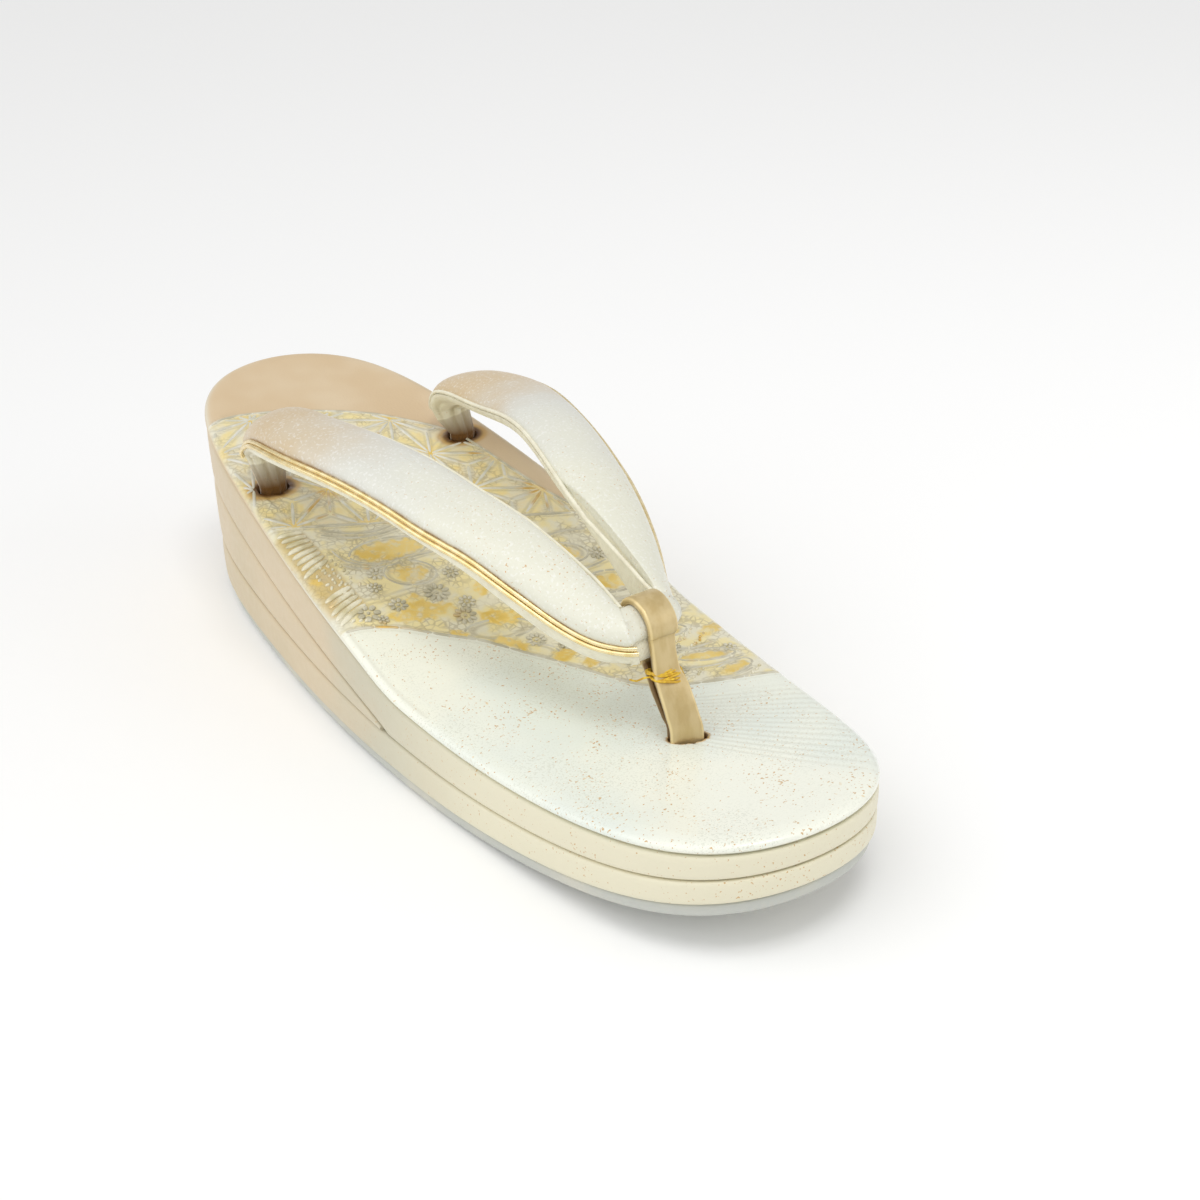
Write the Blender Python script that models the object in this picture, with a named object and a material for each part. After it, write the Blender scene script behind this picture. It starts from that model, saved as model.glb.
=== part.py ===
"""A right foot zori sandal: a stacked wedge sole wrapped in leather, a padded footbed and a thonged strap.

Metres, +Z up, +Y toward the toe, +X toward the outer side of the right foot.
The origin lies on the ground under the middle of the sole's length.
"""

import math

import bmesh
import bpy
from mathutils import Vector

# Sole outline
SOLE_LENGTH = 0.240
HALF_WIDTH = 0.0418
INWARD_BEND = 0.0010
# Heights of the stack, from the ground up
TOE_SPRING = 0.0136
SPRING_START = 0.62
OUTSOLE_THICKNESS = 0.0034
OUTSOLE_INSET = 0.0006
LOWER_HEEL_THICKNESS = 0.0122
LOWER_TOE_THICKNESS = 0.0058
WEDGE_HEIGHT = 0.0206
WEDGE_TIP = 0.56
WEDGE_FULLNESS = 0.74
WEDGE_LEAST = 0.0009
TOP_HEEL_THICKNESS = 0.0163
TOP_TOE_THICKNESS = 0.0056
FOOTBED_THICKNESS = 0.0030
EDGE_ROLL = 0.0009
FOOTBED_ROLL = 0.0045
LAYER_GAP = 0.0003
# Straps
ANCHOR_SETBACK = 0.0605
ANCHOR_SPREAD = 0.0300
STRAP_RISE = 0.0365
INNER_SIDE_SLACK = 0.0056
OUTER_SEAM_SLACK = 0.3
SLACK_LENGTH = 0.52
SLACK_LEAD = 0.05
STRAP_CROWN = 0.0042
STRAP_DEPTH = 0.0048
TAIL_INSET = 0.94
TAIL_WIDTH = 0.0072
TAIL_THICKNESS = 0.0044
TAIL_DEPTH = 0.0055
TAIL_SHOWS = 0.0010
PIPING_RADIUS = 0.0009
# Toe loop and its stem
LOOP_SETFORWARD = 0.0612
LOOP_SIDESTEP = 0.0012
LOOP_WIDTH = 0.0075
LEAF_THICKNESS = 0.0017
LEAF_GAP = 0.0004
LEAF_CORNER = 0.0005
LOOP_SQUEEZE = 0.0002
STEM_REACH = 0.0072
STEM_SIDESTEP = 0.0014
STEM_TURN = 24.0
STEM_DEPTH = 0.0050
STEM_RELIEF = 0.0018
STEM_FALL = 1.15
NECK_LEAN = 0.6
# Clearances
FIT = 0.0003
HOLE_CLEARANCE = 0.0004
POCKET_CLEARANCE = 0.0005
STRAP_HOLE_CORNER = 0.0018

# How finely the shapes are divided
STATIONS = 36
SIDE_POINTS = 8
ROW_STEPS = 3
CORNER_STEPS = 4

# The half width is a sum of sine waves over the angle that runs from the heel to the toe
OUTLINE_WAVES = (
    # wave, share of the half width
    (1, 1.066),
    (2, -0.012),
    (3, 0.095),
    (5, 0.029),
)

# A layer's side, from its lower to its upper edge
ROLLED_SIDE = (
    # inset as a share of the edge roll, height as a share of the layer
    (1.00, 0.00),
    (0.30, 0.10),
    (0.00, 0.32),
    (0.00, 0.68),
    (0.30, 0.90),
    (1.00, 1.00),
)
OUTSOLE_SIDE = (
    (1.60, 0.00),
    (0.70, 0.22),
    (0.45, 0.60),
    (0.70, 1.00),
)
# The footbed's side rolls over onto its top, so its inset is a share of the footbed roll
FOOTBED_SIDE = (
    (0.20, 0.00),
    (0.04, 0.22),
    (0.00, 0.42),
    (0.09, 0.68),
    (0.38, 0.90),
    (1.00, 1.00),
)

# The right strap, from its hole to the toe loop, by its two seams.
# along: share of the run from the hole to the loop; out: share of the anchor spread;
# up: height over the footbed as a share of the strap's rise.
# crown and drops: how far the skin rises and the lining hangs, as shares of crown and depth.
STRAP_ROWS = (
    # inner seam: along, out, up; outer seam: along, out, up; crown, inner drop, outer drop, outer lean
    (-0.026, 0.78, 0.150, -0.030, 1.070, 0.150, 0.62, 0.55, 0.55, 0.00),
    (-0.028, 0.72, 0.270, -0.030, 1.100, 0.270, 0.78, 0.75, 0.75, 0.00),
    (0.005, 0.70, 0.465, 0.030, 1.165, 0.450, 0.92, 0.95, 0.90, 0.00),
    (0.082, 0.69, 0.635, 0.108, 1.225, 0.600, 1.00, 1.00, 0.90, 0.00),
    (0.205, 0.64, 0.765, 0.235, 1.230, 0.740, 1.00, 1.00, 0.85, 0.00),
    (0.388, 0.50, 0.915, 0.414, 1.075, 0.860, 1.00, 1.00, 0.80, 0.00),
    (0.575, 0.34, 1.000, 0.602, 0.900, 0.935, 1.00, 1.00, 0.80, 0.10),
    (0.678, 0.245, 1.000, 0.702, 0.775, 0.915, 1.00, 1.00, 1.10, 0.25),
    (0.780, 0.175, 0.930, 0.803, 0.630, 0.805, 1.00, 1.05, 1.50, 0.50),
)
# On the outer side the strap ends in a full shoulder before the loop
OUTER_FRONT_ROWS = (
    (0.872, 0.125, 0.840, 0.896, 0.485, 0.685, 1.00, 1.15, 1.85, 0.85),
    (0.930, 0.120, 0.780, 0.962, 0.385, 0.635, 0.95, 1.20, 1.90, 1.15),
    (0.958, 0.130, 0.765, 1.010, 0.275, 0.625, 0.88, 1.25, 1.70, 1.45),
    (0.965, 0.140, 0.760, 1.030, 0.190, 0.625, 0.80, 1.20, 1.35, 1.80),
)
# On the inner side it turns in behind the loop
INNER_FRONT_ROWS = (
    (0.872, 0.130, 0.840, 0.888, 0.465, 0.690, 1.00, 1.10, 1.30, 0.60),
    (0.926, 0.135, 0.780, 0.938, 0.350, 0.645, 0.95, 1.15, 1.30, 0.80),
    (0.948, 0.160, 0.765, 0.970, 0.265, 0.632, 0.88, 1.20, 1.30, 1.10),
    (0.955, 0.178, 0.758, 0.992, 0.208, 0.630, 0.80, 1.20, 1.30, 1.50),
)
# The part that the loop holds: both seams in the middle plane
HELD_INNER = (0.959, 0.755)
HELD_OUTER = (1.015, 0.630)
# Its crown, inner drop, outer drop and outer lean
HELD_SHARES = (0.75, 1.20, 1.30, 1.95)
# Sections before the middle of the loop at which each piping ends
OUTER_PIPING_STOP = 1
INNER_PIPING_STOP = 4
# Rows of the stem, as shares of the way from the neck to the hole
STEM_SHARES = (0.12, 0.35, 0.6, 0.8, 1.0)
# A curve between two points rises by a third less than its handles, so the handles go this much higher
HANDLE_REACH = 4 / 3


def clear_scene():
    for old in list(bpy.data.objects):
        bpy.data.objects.remove(old, do_unlink=True)


def material(name, color, roughness, metallic=0.0):
    made = bpy.data.materials.new(name)
    made.use_nodes = True
    shader = made.node_tree.nodes["Principled BSDF"]
    shader.inputs["Base Color"].default_value = (*color, 1.0)
    shader.inputs["Roughness"].default_value = roughness
    shader.inputs["Metallic"].default_value = metallic
    made.diffuse_color = (*color, 1.0)
    return made


def place_object(name, data, finish):
    piece = bpy.data.objects.new(name, data)
    piece.data.materials.append(finish)
    bpy.context.scene.collection.objects.link(piece)
    return piece


def mix(start, end, share):
    return start + (end - start) * share


# Heights of the stack at a place along the sole

def share_at(y):
    return min(1.0, max(0.0, y / SOLE_LENGTH + 0.5))


def ground_level(y):
    rise = max(0.0, (share_at(y) - SPRING_START) / (1.0 - SPRING_START))
    return TOE_SPRING * rise ** 2


def outsole_top(y):
    return ground_level(y) + OUTSOLE_THICKNESS


def lower_top(y):
    return outsole_top(y) + mix(LOWER_HEEL_THICKNESS, LOWER_TOE_THICKNESS, share_at(y))


def wedge_top(y):
    taper = max(0.0, (WEDGE_TIP - share_at(y)) / WEDGE_TIP)
    return lower_top(y) + WEDGE_HEIGHT * taper ** WEDGE_FULLNESS


def layer_top(y):
    return wedge_top(y) + mix(TOP_HEEL_THICKNESS, TOP_TOE_THICKNESS, share_at(y))


def footbed_top(y):
    return layer_top(y) + FOOTBED_THICKNESS


# The sole's outline, as stations that run from the heel to the toe

def wedge_end():
    """Share of the length where the wedge is down to its least thickness."""
    taper = ((WEDGE_LEAST + LAYER_GAP) / WEDGE_HEIGHT) ** (1.0 / WEDGE_FULLNESS)
    return WEDGE_TIP * (1.0 - taper)


def outline_point(angle, side):
    y = -math.cos(angle) * SOLE_LENGTH / 2
    middle = -INWARD_BEND * math.sin(angle) ** 2
    half = HALF_WIDTH * sum(share * math.sin(wave * angle) for wave, share in OUTLINE_WAVES)
    return Vector((middle + side * half, y))


def outline_station(angle, side):
    """A point of the outline and the way inward from it."""
    step = 0.001
    before = outline_point(angle - step, side)
    after = outline_point(angle + step, side)
    run = (after - before).normalized()
    inward = Vector((-run.y, run.x)) * side
    return outline_point(angle, side), inward


def station_angles():
    angles = [math.pi * step / STATIONS for step in range(STATIONS + 1)]
    tip = math.acos(1.0 - 2.0 * wedge_end())
    near = min(range(1, STATIONS), key=lambda place: abs(angles[place] - tip))
    angles[near] = tip
    return angles


def slab(name, finish, bottom_at, top_at, side_rows, roll, base_inset=0.0, last_angle=math.pi):
    """A layer of the sole: a lower and an upper surface, and a shaped side all round."""
    shape = bmesh.new()
    loops = []
    for angle in station_angles():
        if angle > last_angle + 1e-6:
            continue
        halves = []
        for side in (1, -1):
            edge, inward = outline_station(angle, side)
            half = []
            for inset, height in side_rows:
                flat = edge + inward * (base_inset + inset * roll)
                if angle in (0.0, math.pi):
                    flat.x = 0.0
                half.append(Vector((flat.x, flat.y, mix(bottom_at(flat.y), top_at(flat.y), height))))
            halves.append(half)
        loops.append([shape.verts.new(point) for point in halves[0] + halves[1][::-1]])
    count = len(loops[0])
    for first, second in zip(loops, loops[1:]):
        for place in range(count):
            after = (place + 1) % count
            shape.faces.new((first[place], first[after], second[after], second[place]))
    if last_angle < math.pi:
        shape.faces.new(loops[-1])
    bmesh.ops.remove_doubles(shape, verts=shape.verts, dist=1e-6)
    bmesh.ops.recalc_face_normals(shape, faces=shape.faces)
    mesh = bpy.data.meshes.new(name)
    shape.to_mesh(mesh)
    shape.free()
    return place_object(name, mesh, finish)


def loft(name, finish, loops):
    """A closed skin over sections of equal point count, with both ends filled."""
    shape = bmesh.new()
    rings = [[shape.verts.new(point) for point in loop] for loop in loops]
    count = len(rings[0])
    for first, second in zip(rings, rings[1:]):
        for place in range(count):
            after = (place + 1) % count
            shape.faces.new((first[place], first[after], second[after], second[place]))
    shape.faces.new(rings[0])
    shape.faces.new(rings[-1])
    bmesh.ops.recalc_face_normals(shape, faces=shape.faces)
    mesh = bpy.data.meshes.new(name)
    shape.to_mesh(mesh)
    shape.free()
    return place_object(name, mesh, finish)


# The straps

def run_y(along):
    """Place along the sole for a share of the run from the strap's hole to the toe loop."""
    return mix(-ANCHOR_SETBACK, LOOP_SETFORWARD, along)


def strap_point(along, out, up, slack=0.0):
    y = run_y(along)
    t = min(1.0, max(0.0, (along + SLACK_LEAD) / SLACK_LENGTH))
    # Deepest a third of the way along, where it equals the slack
    sag = slack * t * (1.0 - t) ** 2 * 27 / 4
    return Vector((out * ANCHOR_SPREAD, y, footbed_top(y) + up * STRAP_RISE - sag))


def smooth_rows(rows):
    """Rows on a smooth curve through the given rows, with a few steps between each two."""
    made = []
    for place in range(len(rows) - 1):
        first = rows[max(place - 1, 0)]
        start = rows[place]
        end = rows[place + 1]
        last = rows[min(place + 2, len(rows) - 1)]
        for step in range(ROW_STEPS):
            t = step / ROW_STEPS
            made.append([curve_value(a, b, c, d, t) for a, b, c, d in zip(first, start, end, last)])
    made.append(list(rows[-1]))
    return made


def curve_value(before, start, end, after, t):
    slope_in = (end - before) / 2
    slope_out = (after - start) / 2
    return ((2 * t ** 3 - 3 * t ** 2 + 1) * start + (t ** 3 - 2 * t ** 2 + t) * slope_in
            + (3 * t ** 2 - 2 * t ** 3) * end + (t ** 3 - t ** 2) * slope_out)


def handle_curve(start, handle_a, handle_b, end, count):
    """Points of a curve with two handles, without its last point."""
    points = []
    for step in range(count):
        t = step / count
        points.append(start * (1 - t) ** 3 + handle_a * 3 * t * (1 - t) ** 2
                      + handle_b * 3 * t ** 2 * (1 - t) + end * t ** 3)
    return points


def strap_section(inner, outer, normal, shares):
    """The padded section: crowned skin from the outer to the inner seam, lining back underneath."""
    crown, inner_drop, outer_drop, lean = shares
    across = (outer - inner).normalized()
    up = normal * STRAP_CROWN * crown * HANDLE_REACH
    skin = handle_curve(outer, outer + up, inner + up, inner, SIDE_POINTS)
    low_inner = inner - normal * STRAP_DEPTH * inner_drop * HANDLE_REACH
    low_outer = outer - normal * STRAP_DEPTH * outer_drop * HANDLE_REACH + across * STRAP_DEPTH * lean
    lining = handle_curve(inner, low_inner, low_outer, outer, SIDE_POINTS)
    return skin + lining


def half_strap_seams(front_rows, slack):
    """Inner seam, outer seam and shares of each section of one strap, as if on the right."""
    seams = []
    for row in smooth_rows(STRAP_ROWS + front_rows):
        seams.append((strap_point(*row[0:3], slack), strap_point(*row[3:6], slack * OUTER_SEAM_SLACK), row[6:10]))
    return seams


def held_section(x):
    inner = strap_point(HELD_INNER[0], 0.0, HELD_INNER[1])
    outer = strap_point(HELD_OUTER[0], 0.0, HELD_OUTER[1])
    normal = Vector((-1.0, 0.0, 0.0)).cross((outer - inner).normalized()) * -1.0
    points = strap_section(inner, outer, normal, HELD_SHARES)
    return [Vector((x, point.y, point.z)) for point in points]


def section_normals(seams):
    """For each section, the way that its skin faces."""
    centres = [(inner + outer) / 2 for inner, outer, shares in seams]
    centres.append(Vector((0.0, *(sum(held_section(0.0), Vector()) / (2 * SIDE_POINTS)).yz)))
    normals = []
    for place, (inner, outer, shares) in enumerate(seams):
        run = centres[place + 1] - centres[max(place - 1, 0)]
        normals.append((outer - inner).cross(run).normalized())
    return normals


def tail_sections():
    """The strap's end that goes straight down into its hole."""
    top = footbed_top(-ANCHOR_SETBACK)
    sections = []
    for height in (-TAIL_DEPTH, TAIL_SHOWS):
        points = []
        for step in range(2 * SIDE_POINTS):
            turn = math.pi * step / SIDE_POINTS
            points.append(Vector((
                ANCHOR_SPREAD * TAIL_INSET + math.cos(turn) * TAIL_WIDTH / 2,
                -ANCHOR_SETBACK - math.sin(turn) * TAIL_THICKNESS / 2,
                top + height,
            )))
        sections.append(points)
    return sections


def half_strap_sections(side):
    """Sections of the strap on one side, as if on the right: 1 is the outer side, -1 the inner."""
    if side > 0:
        seams = half_strap_seams(OUTER_FRONT_ROWS, 0.0)
    else:
        seams = half_strap_seams(INNER_FRONT_ROWS, INNER_SIDE_SLACK)
    sections = tail_sections()
    for (inner, outer, shares), normal in zip(seams, section_normals(seams)):
        sections.append(strap_section(inner, outer, normal, shares))
    beside_loop = LOOP_WIDTH / 2 + FIT - side * LOOP_SIDESTEP
    for place, section in enumerate(reversed(sections)):
        least = beside_loop + LOOP_SQUEEZE * (place + 1)
        for point in section:
            point.x = max(point.x, least)
    sections.append(held_section(beside_loop))
    return sections


def mirrored(points):
    return [Vector((-point.x, point.y, point.z)) for point in points]


def strap_sections():
    """From the outer side's hole, through the toe loop, to the inner side's hole."""
    outer_half = half_strap_sections(1)
    inner_half = half_strap_sections(-1)
    return outer_half + [mirrored(section) for section in reversed(inner_half)]


def piping_route(side):
    """Centre of the piping beside the outer seam, from the strap's rear end to the toe loop."""
    route = []
    last = -OUTER_PIPING_STOP if side > 0 else -INNER_PIPING_STOP
    for section in half_strap_sections(side)[3:last]:
        middle = sum(section, Vector()) / len(section)
        beside = section[1] - section[-1]
        run = (section[0] - section[SIDE_POINTS]).cross(beside)
        away = beside.cross(run).normalized()
        if away.dot(section[0] - middle) < 0:
            away = -away
        route.append(section[0] + away * (PIPING_RADIUS + FIT))
    return route


def tube(name, finish, route, radius):
    curve = bpy.data.curves.new(name, "CURVE")
    curve.dimensions = "3D"
    curve.bevel_depth = radius
    curve.bevel_resolution = 2
    curve.use_fill_caps = True
    spline = curve.splines.new("POLY")
    spline.points.add(len(route) - 1)
    for slot, point in zip(spline.points, route):
        slot.co = (*point, 1.0)
    return place_object(name, curve, finish)


# The toe loop: one leather band round the joined straps, whose two leaves go down as the stem

def around_the_straps():
    """Centre of the band round the held straps, from the front of the neck to its back."""
    ring = held_section(-LOOP_SIDESTEP)
    middle = sum(ring, Vector()) / len(ring)
    reach = FIT + LEAF_THICKNESS / 2
    around = []
    for place, point in enumerate(ring):
        run = (ring[(place + 1) % len(ring)] - ring[place - 1]).normalized()
        away = Vector((0.0, run.z, -run.y))
        if away.dot(point - middle) < 0:
            away = -away
        around.append(point + away * reach)
    neck = min(range(len(ring)), key=lambda place: around[place].z - NECK_LEAN * around[place].y)
    ordered = around[neck + 1:] + around[:neck]
    if ordered[0].y < ordered[-1].y:
        ordered.reverse()
    return around[neck], ordered


def stem_rows(neck):
    """The stem's middle line, from under the neck down into its hole, and its turn at each row."""
    hole_y = neck.y + STEM_REACH
    surface = footbed_top(hole_y)
    rows = []
    for share in STEM_SHARES:
        height = mix(neck.z - LEAF_THICKNESS, surface + STEM_RELIEF, share ** STEM_FALL)
        point = Vector((neck.x - STEM_SIDESTEP * share, neck.y + STEM_REACH * share, height))
        rows.append((point, STEM_TURN * share))
    foot = Vector((neck.x - STEM_SIDESTEP, hole_y, surface - STEM_DEPTH))
    rows.append((foot, STEM_TURN))
    return rows


def band_frame(rows, place):
    """Across the band and out of its face, at one row."""
    before = rows[max(place - 1, 0)][0]
    after = rows[min(place + 1, len(rows) - 1)][0]
    turn = math.radians(rows[place][1])
    across = Vector((math.cos(turn), -math.sin(turn), 0.0))
    return across, (after - before).cross(across).normalized()


def loop_route():
    """Every row of the band, up the front leaf, round the straps and down the back leaf."""
    neck, around = around_the_straps()
    stem = stem_rows(neck)
    apart = (LEAF_THICKNESS + LEAF_GAP) / 2
    front = []
    back = []
    for place, (point, turn) in enumerate(stem):
        out = band_frame(stem, place)[1]
        front.append((point - out * apart, turn))
        back.append((point + out * apart, turn))
    return front[::-1] + [(point, 0.0) for point in around] + back


def build_toe_loop(finish):
    rows = loop_route()
    loops = []
    wide = LOOP_WIDTH / 2
    thick = LEAF_THICKNESS / 2
    for place, (point, turn) in enumerate(rows):
        across, out = band_frame(rows, place)
        loop = []
        for right, up in ((1, -1), (1, 1), (-1, 1), (-1, -1)):
            at_side = point + across * right * wide + out * up * (thick - LEAF_CORNER)
            at_face = point + across * right * (wide - LEAF_CORNER) + out * up * thick
            loop += [at_side, at_face] if right == up else [at_face, at_side]
        loops.append(loop)
    return loft("toe_loop", finish, loops)


# Holes that the straps and the stem go down into

def rounded_loop(centre, half_x, half_y, corner, turn):
    """A rounded rectangle in a level plane, turned about its centre."""
    points = []
    for quarter in range(4):
        for step in range(CORNER_STEPS + 1):
            angle = (quarter + step / CORNER_STEPS) * math.pi / 2
            x = (half_x - corner) * (1 if quarter in (0, 3) else -1) + corner * math.cos(angle)
            y = (half_y - corner) * (1 if quarter in (0, 1) else -1) + corner * math.sin(angle)
            points.append(Vector((
                centre.x + x * math.cos(turn) - y * math.sin(turn),
                centre.y + x * math.sin(turn) + y * math.cos(turn),
                centre.z,
            )))
    return points


def hole_cutter(name, finish, centre, half_x, half_y, corner, floor, turn=0.0):
    """A prism that cuts down through the footbed into the layer below it."""
    low = rounded_loop(Vector((centre.x, centre.y, floor)), half_x, half_y, corner, turn)
    high = rounded_loop(centre + Vector((0.0, 0.0, FOOTBED_THICKNESS)), half_x, half_y, corner, turn)
    cutter = loft(name, finish, [low, high])
    cutter.hide_render = True
    cutter.display_type = "WIRE"
    return cutter


def cut(piece, cutters):
    for cutter in cutters:
        modifier = piece.modifiers.new("Hole", "BOOLEAN")
        modifier.operation = "DIFFERENCE"
        modifier.solver = "EXACT"
        modifier.object = cutter


def build():
    clear_scene()
    rubber = material("outsole grey", (0.52, 0.54, 0.50), 0.7)
    wrap = material("wrapped edge leather", (0.78, 0.70, 0.60), 0.45)
    footbed_leather = material("ivory footbed leather", (0.86, 0.85, 0.78), 0.35)
    strap_leather = material("pearl strap leather", (0.85, 0.82, 0.74), 0.4)
    gold = material("gold piping", (0.80, 0.58, 0.22), 0.3, 0.8)
    loop_leather = material("gold loop leather", (0.55, 0.42, 0.20), 0.4, 0.5)

    half_gap = LAYER_GAP / 2
    slab("outsole", rubber, ground_level, lambda y: outsole_top(y) - half_gap,
         OUTSOLE_SIDE, EDGE_ROLL, OUTSOLE_INSET)
    slab("lower_layer", wrap, lambda y: outsole_top(y) + half_gap,
         lambda y: lower_top(y) - half_gap, ROLLED_SIDE, EDGE_ROLL)
    slab("heel_wedge", wrap, lambda y: lower_top(y) + half_gap,
         lambda y: wedge_top(y) - half_gap, ROLLED_SIDE, EDGE_ROLL,
         last_angle=math.acos(1.0 - 2.0 * wedge_end()))
    top_layer = slab("top_layer", wrap, lambda y: wedge_top(y) + half_gap,
                     lambda y: layer_top(y) - half_gap, ROLLED_SIDE, EDGE_ROLL)
    footbed = slab("footbed", footbed_leather, lambda y: layer_top(y) + half_gap,
                   footbed_top, FOOTBED_SIDE, FOOTBED_ROLL)

    loft("strap", strap_leather, strap_sections())
    tube("piping_outer", gold, piping_route(1), PIPING_RADIUS)
    tube("piping_inner", gold, mirrored(piping_route(-1)), PIPING_RADIUS)
    build_toe_loop(loop_leather)

    anchor_top = footbed_top(-ANCHOR_SETBACK)
    cutters = []
    for side in (1, -1):
        centre = Vector((side * ANCHOR_SPREAD * TAIL_INSET, -ANCHOR_SETBACK, anchor_top))
        cutters.append(hole_cutter(
            "strap hole cutter", footbed_leather, centre, TAIL_WIDTH / 2 + HOLE_CLEARANCE,
            TAIL_THICKNESS / 2 + HOLE_CLEARANCE, STRAP_HOLE_CORNER,
            anchor_top - TAIL_DEPTH - POCKET_CLEARANCE))
    stem_ends = loop_route()
    stem_foot = (stem_ends[0][0] + stem_ends[-1][0]) / 2
    stem_top = Vector((stem_foot.x, stem_foot.y, footbed_top(stem_foot.y)))
    cutters.append(hole_cutter(
        "stem hole cutter", footbed_leather, stem_top, LOOP_WIDTH / 2 + HOLE_CLEARANCE,
        LEAF_THICKNESS + LEAF_GAP / 2 + HOLE_CLEARANCE, LEAF_CORNER,
        stem_foot.z - POCKET_CLEARANCE,
        -math.radians(STEM_TURN)))
    cut(footbed, cutters)
    cut(top_layer, cutters)


build()
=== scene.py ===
import math

import bpy
import numpy as np
from mathutils import Matrix, Vector


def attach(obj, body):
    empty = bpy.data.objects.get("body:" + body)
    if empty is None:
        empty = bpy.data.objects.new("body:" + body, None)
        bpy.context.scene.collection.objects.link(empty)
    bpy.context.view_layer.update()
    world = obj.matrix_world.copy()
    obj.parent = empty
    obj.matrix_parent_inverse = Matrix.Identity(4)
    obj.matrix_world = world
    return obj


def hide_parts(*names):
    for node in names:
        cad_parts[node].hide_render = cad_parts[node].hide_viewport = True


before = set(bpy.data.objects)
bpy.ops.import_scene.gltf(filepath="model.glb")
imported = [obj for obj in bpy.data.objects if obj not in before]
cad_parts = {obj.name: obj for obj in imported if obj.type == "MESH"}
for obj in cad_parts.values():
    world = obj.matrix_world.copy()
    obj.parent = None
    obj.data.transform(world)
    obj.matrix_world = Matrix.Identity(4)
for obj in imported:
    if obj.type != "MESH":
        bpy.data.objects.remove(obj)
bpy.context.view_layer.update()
bpy.ops.object.select_all(action="DESELECT")
print("frame loaded")

mm = 0.001  # everything below is worked out in millimetres
seamReach = 2e-6  # points this near are one, in metres
tinyReach = 1e-7


def tone(red, green, blue):
    # screen colour, 0 to 255, as a linear colour
    levels = [value / 255 for value in (red, green, blue)]
    return tuple(v / 12.92 if v <= 0.04045 else ((v + 0.055) / 1.055) ** 2.4 for v in levels) + (1.0,)


def curveValue(before, start, end, after, t):
    slopeIn = (end - before) / 2
    slopeOut = (after - start) / 2
    return ((2 * t ** 3 - 3 * t ** 2 + 1) * start + (t ** 3 - 2 * t ** 2 + t) * slopeIn
            + (3 * t ** 2 - 2 * t ** 3) * end + (t ** 3 - t ** 2) * slopeOut)


def smoothRows(rows, steps):
    # rows on a smooth curve through the given rows
    rows = np.array(rows, dtype=float)
    made = []
    for place in range(len(rows) - 1):
        first = rows[max(place - 1, 0)]
        last = rows[min(place + 2, len(rows) - 1)]
        for step in range(steps):
            made.append(curveValue(first, rows[place], rows[place + 1], last, step / steps))
    made.append(rows[-1])
    return np.array(made)


def unit(vector):
    return vector / np.maximum(np.linalg.norm(vector, axis=-1, keepdims=True), 1e-9)


def hill(distance, width):
    # 1 on the line, 0 past the width, smooth between
    t = np.clip(1.0 - distance / width, 0.0, 1.0)
    return t * t * (3.0 - 2.0 * t)


def dress(piece, name, finish):
    piece.name = name
    piece.data.name = name
    piece.data.materials.clear()
    piece.data.materials.append(finish)


def finishMesh(piece, name, finish, angle):
    # seams merged, ends filled, faces outwards and smooth up to the angle
    bpy.ops.object.mode_set(mode="EDIT")
    bpy.ops.mesh.select_all(action="SELECT")
    bpy.ops.mesh.remove_doubles(threshold=seamReach)
    bpy.ops.mesh.dissolve_degenerate(threshold=tinyReach)
    bpy.ops.mesh.select_all(action="DESELECT")
    bpy.ops.mesh.select_non_manifold()
    bpy.ops.mesh.fill_holes(sides=0)
    bpy.ops.mesh.select_all(action="SELECT")
    bpy.ops.mesh.normals_make_consistent(inside=False)
    bpy.ops.object.mode_set(mode="OBJECT")
    bpy.ops.object.shade_smooth_by_angle(angle=math.radians(angle))
    dress(piece, name, finish)
    piece.select_set(False)
    return piece


def sweptPiece(name, points, finish, marks=None, angle=40.0):
    # a grid of rows and columns laid onto the given points
    rows, columns = points.shape[:2]
    bpy.ops.object.select_all(action="DESELECT")
    bpy.ops.mesh.primitive_grid_add(x_subdivisions=columns - 1, y_subdivisions=rows - 1, size=1)
    piece = bpy.context.object
    piece.data.vertices.foreach_set("co", (points * mm).reshape(-1))
    for label, values in (marks or {}).items():
        layer = piece.data.attributes.new(label, "FLOAT", "POINT")
        layer.data.foreach_set("value", np.ascontiguousarray(values, dtype=np.float32).reshape(-1))
    piece.data.update()
    return finishMesh(piece, name, finish, angle)


def joinedPiece(name, pieces, finish):
    bpy.ops.object.select_all(action="DESELECT")
    for piece in pieces:
        piece.select_set(True)
    bpy.context.view_layer.objects.active = pieces[0]
    if len(pieces) > 1:
        bpy.ops.object.join()
    piece = bpy.context.object
    dress(piece, name, finish)
    bpy.ops.object.select_all(action="DESELECT")
    return piece


def settle(piece, slotName, *nodes):
    # the sandal has one body, and the nodes are the CAD solids that the piece stands for
    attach(piece, "root")
    if nodes:
        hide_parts(*nodes)


def addNode(tree, kind, feeds, **settings):
    # feeds hold the outputs or plain values that go into the node
    made = tree.nodes.new(kind)
    for key, value in settings.items():
        setattr(made, key, value)
    for socket, value in feeds.items():
        target = made.inputs[socket]
        if isinstance(value, bpy.types.NodeSocket):
            tree.links.new(value, target)
        else:
            target.default_value = value
    return made


def sums(tree, operation, first, second, clamp=False):
    return addNode(tree, "ShaderNodeMath", {0: first, 1: second}, operation=operation, use_clamp=clamp).outputs[0]


def times(tree, first, second):
    return sums(tree, "MULTIPLY", first, second)


def blendColour(tree, share, first, second):
    return addNode(tree, "ShaderNodeMix", {0: share, 6: first, 7: second}, data_type="RGBA").outputs[2]


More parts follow.
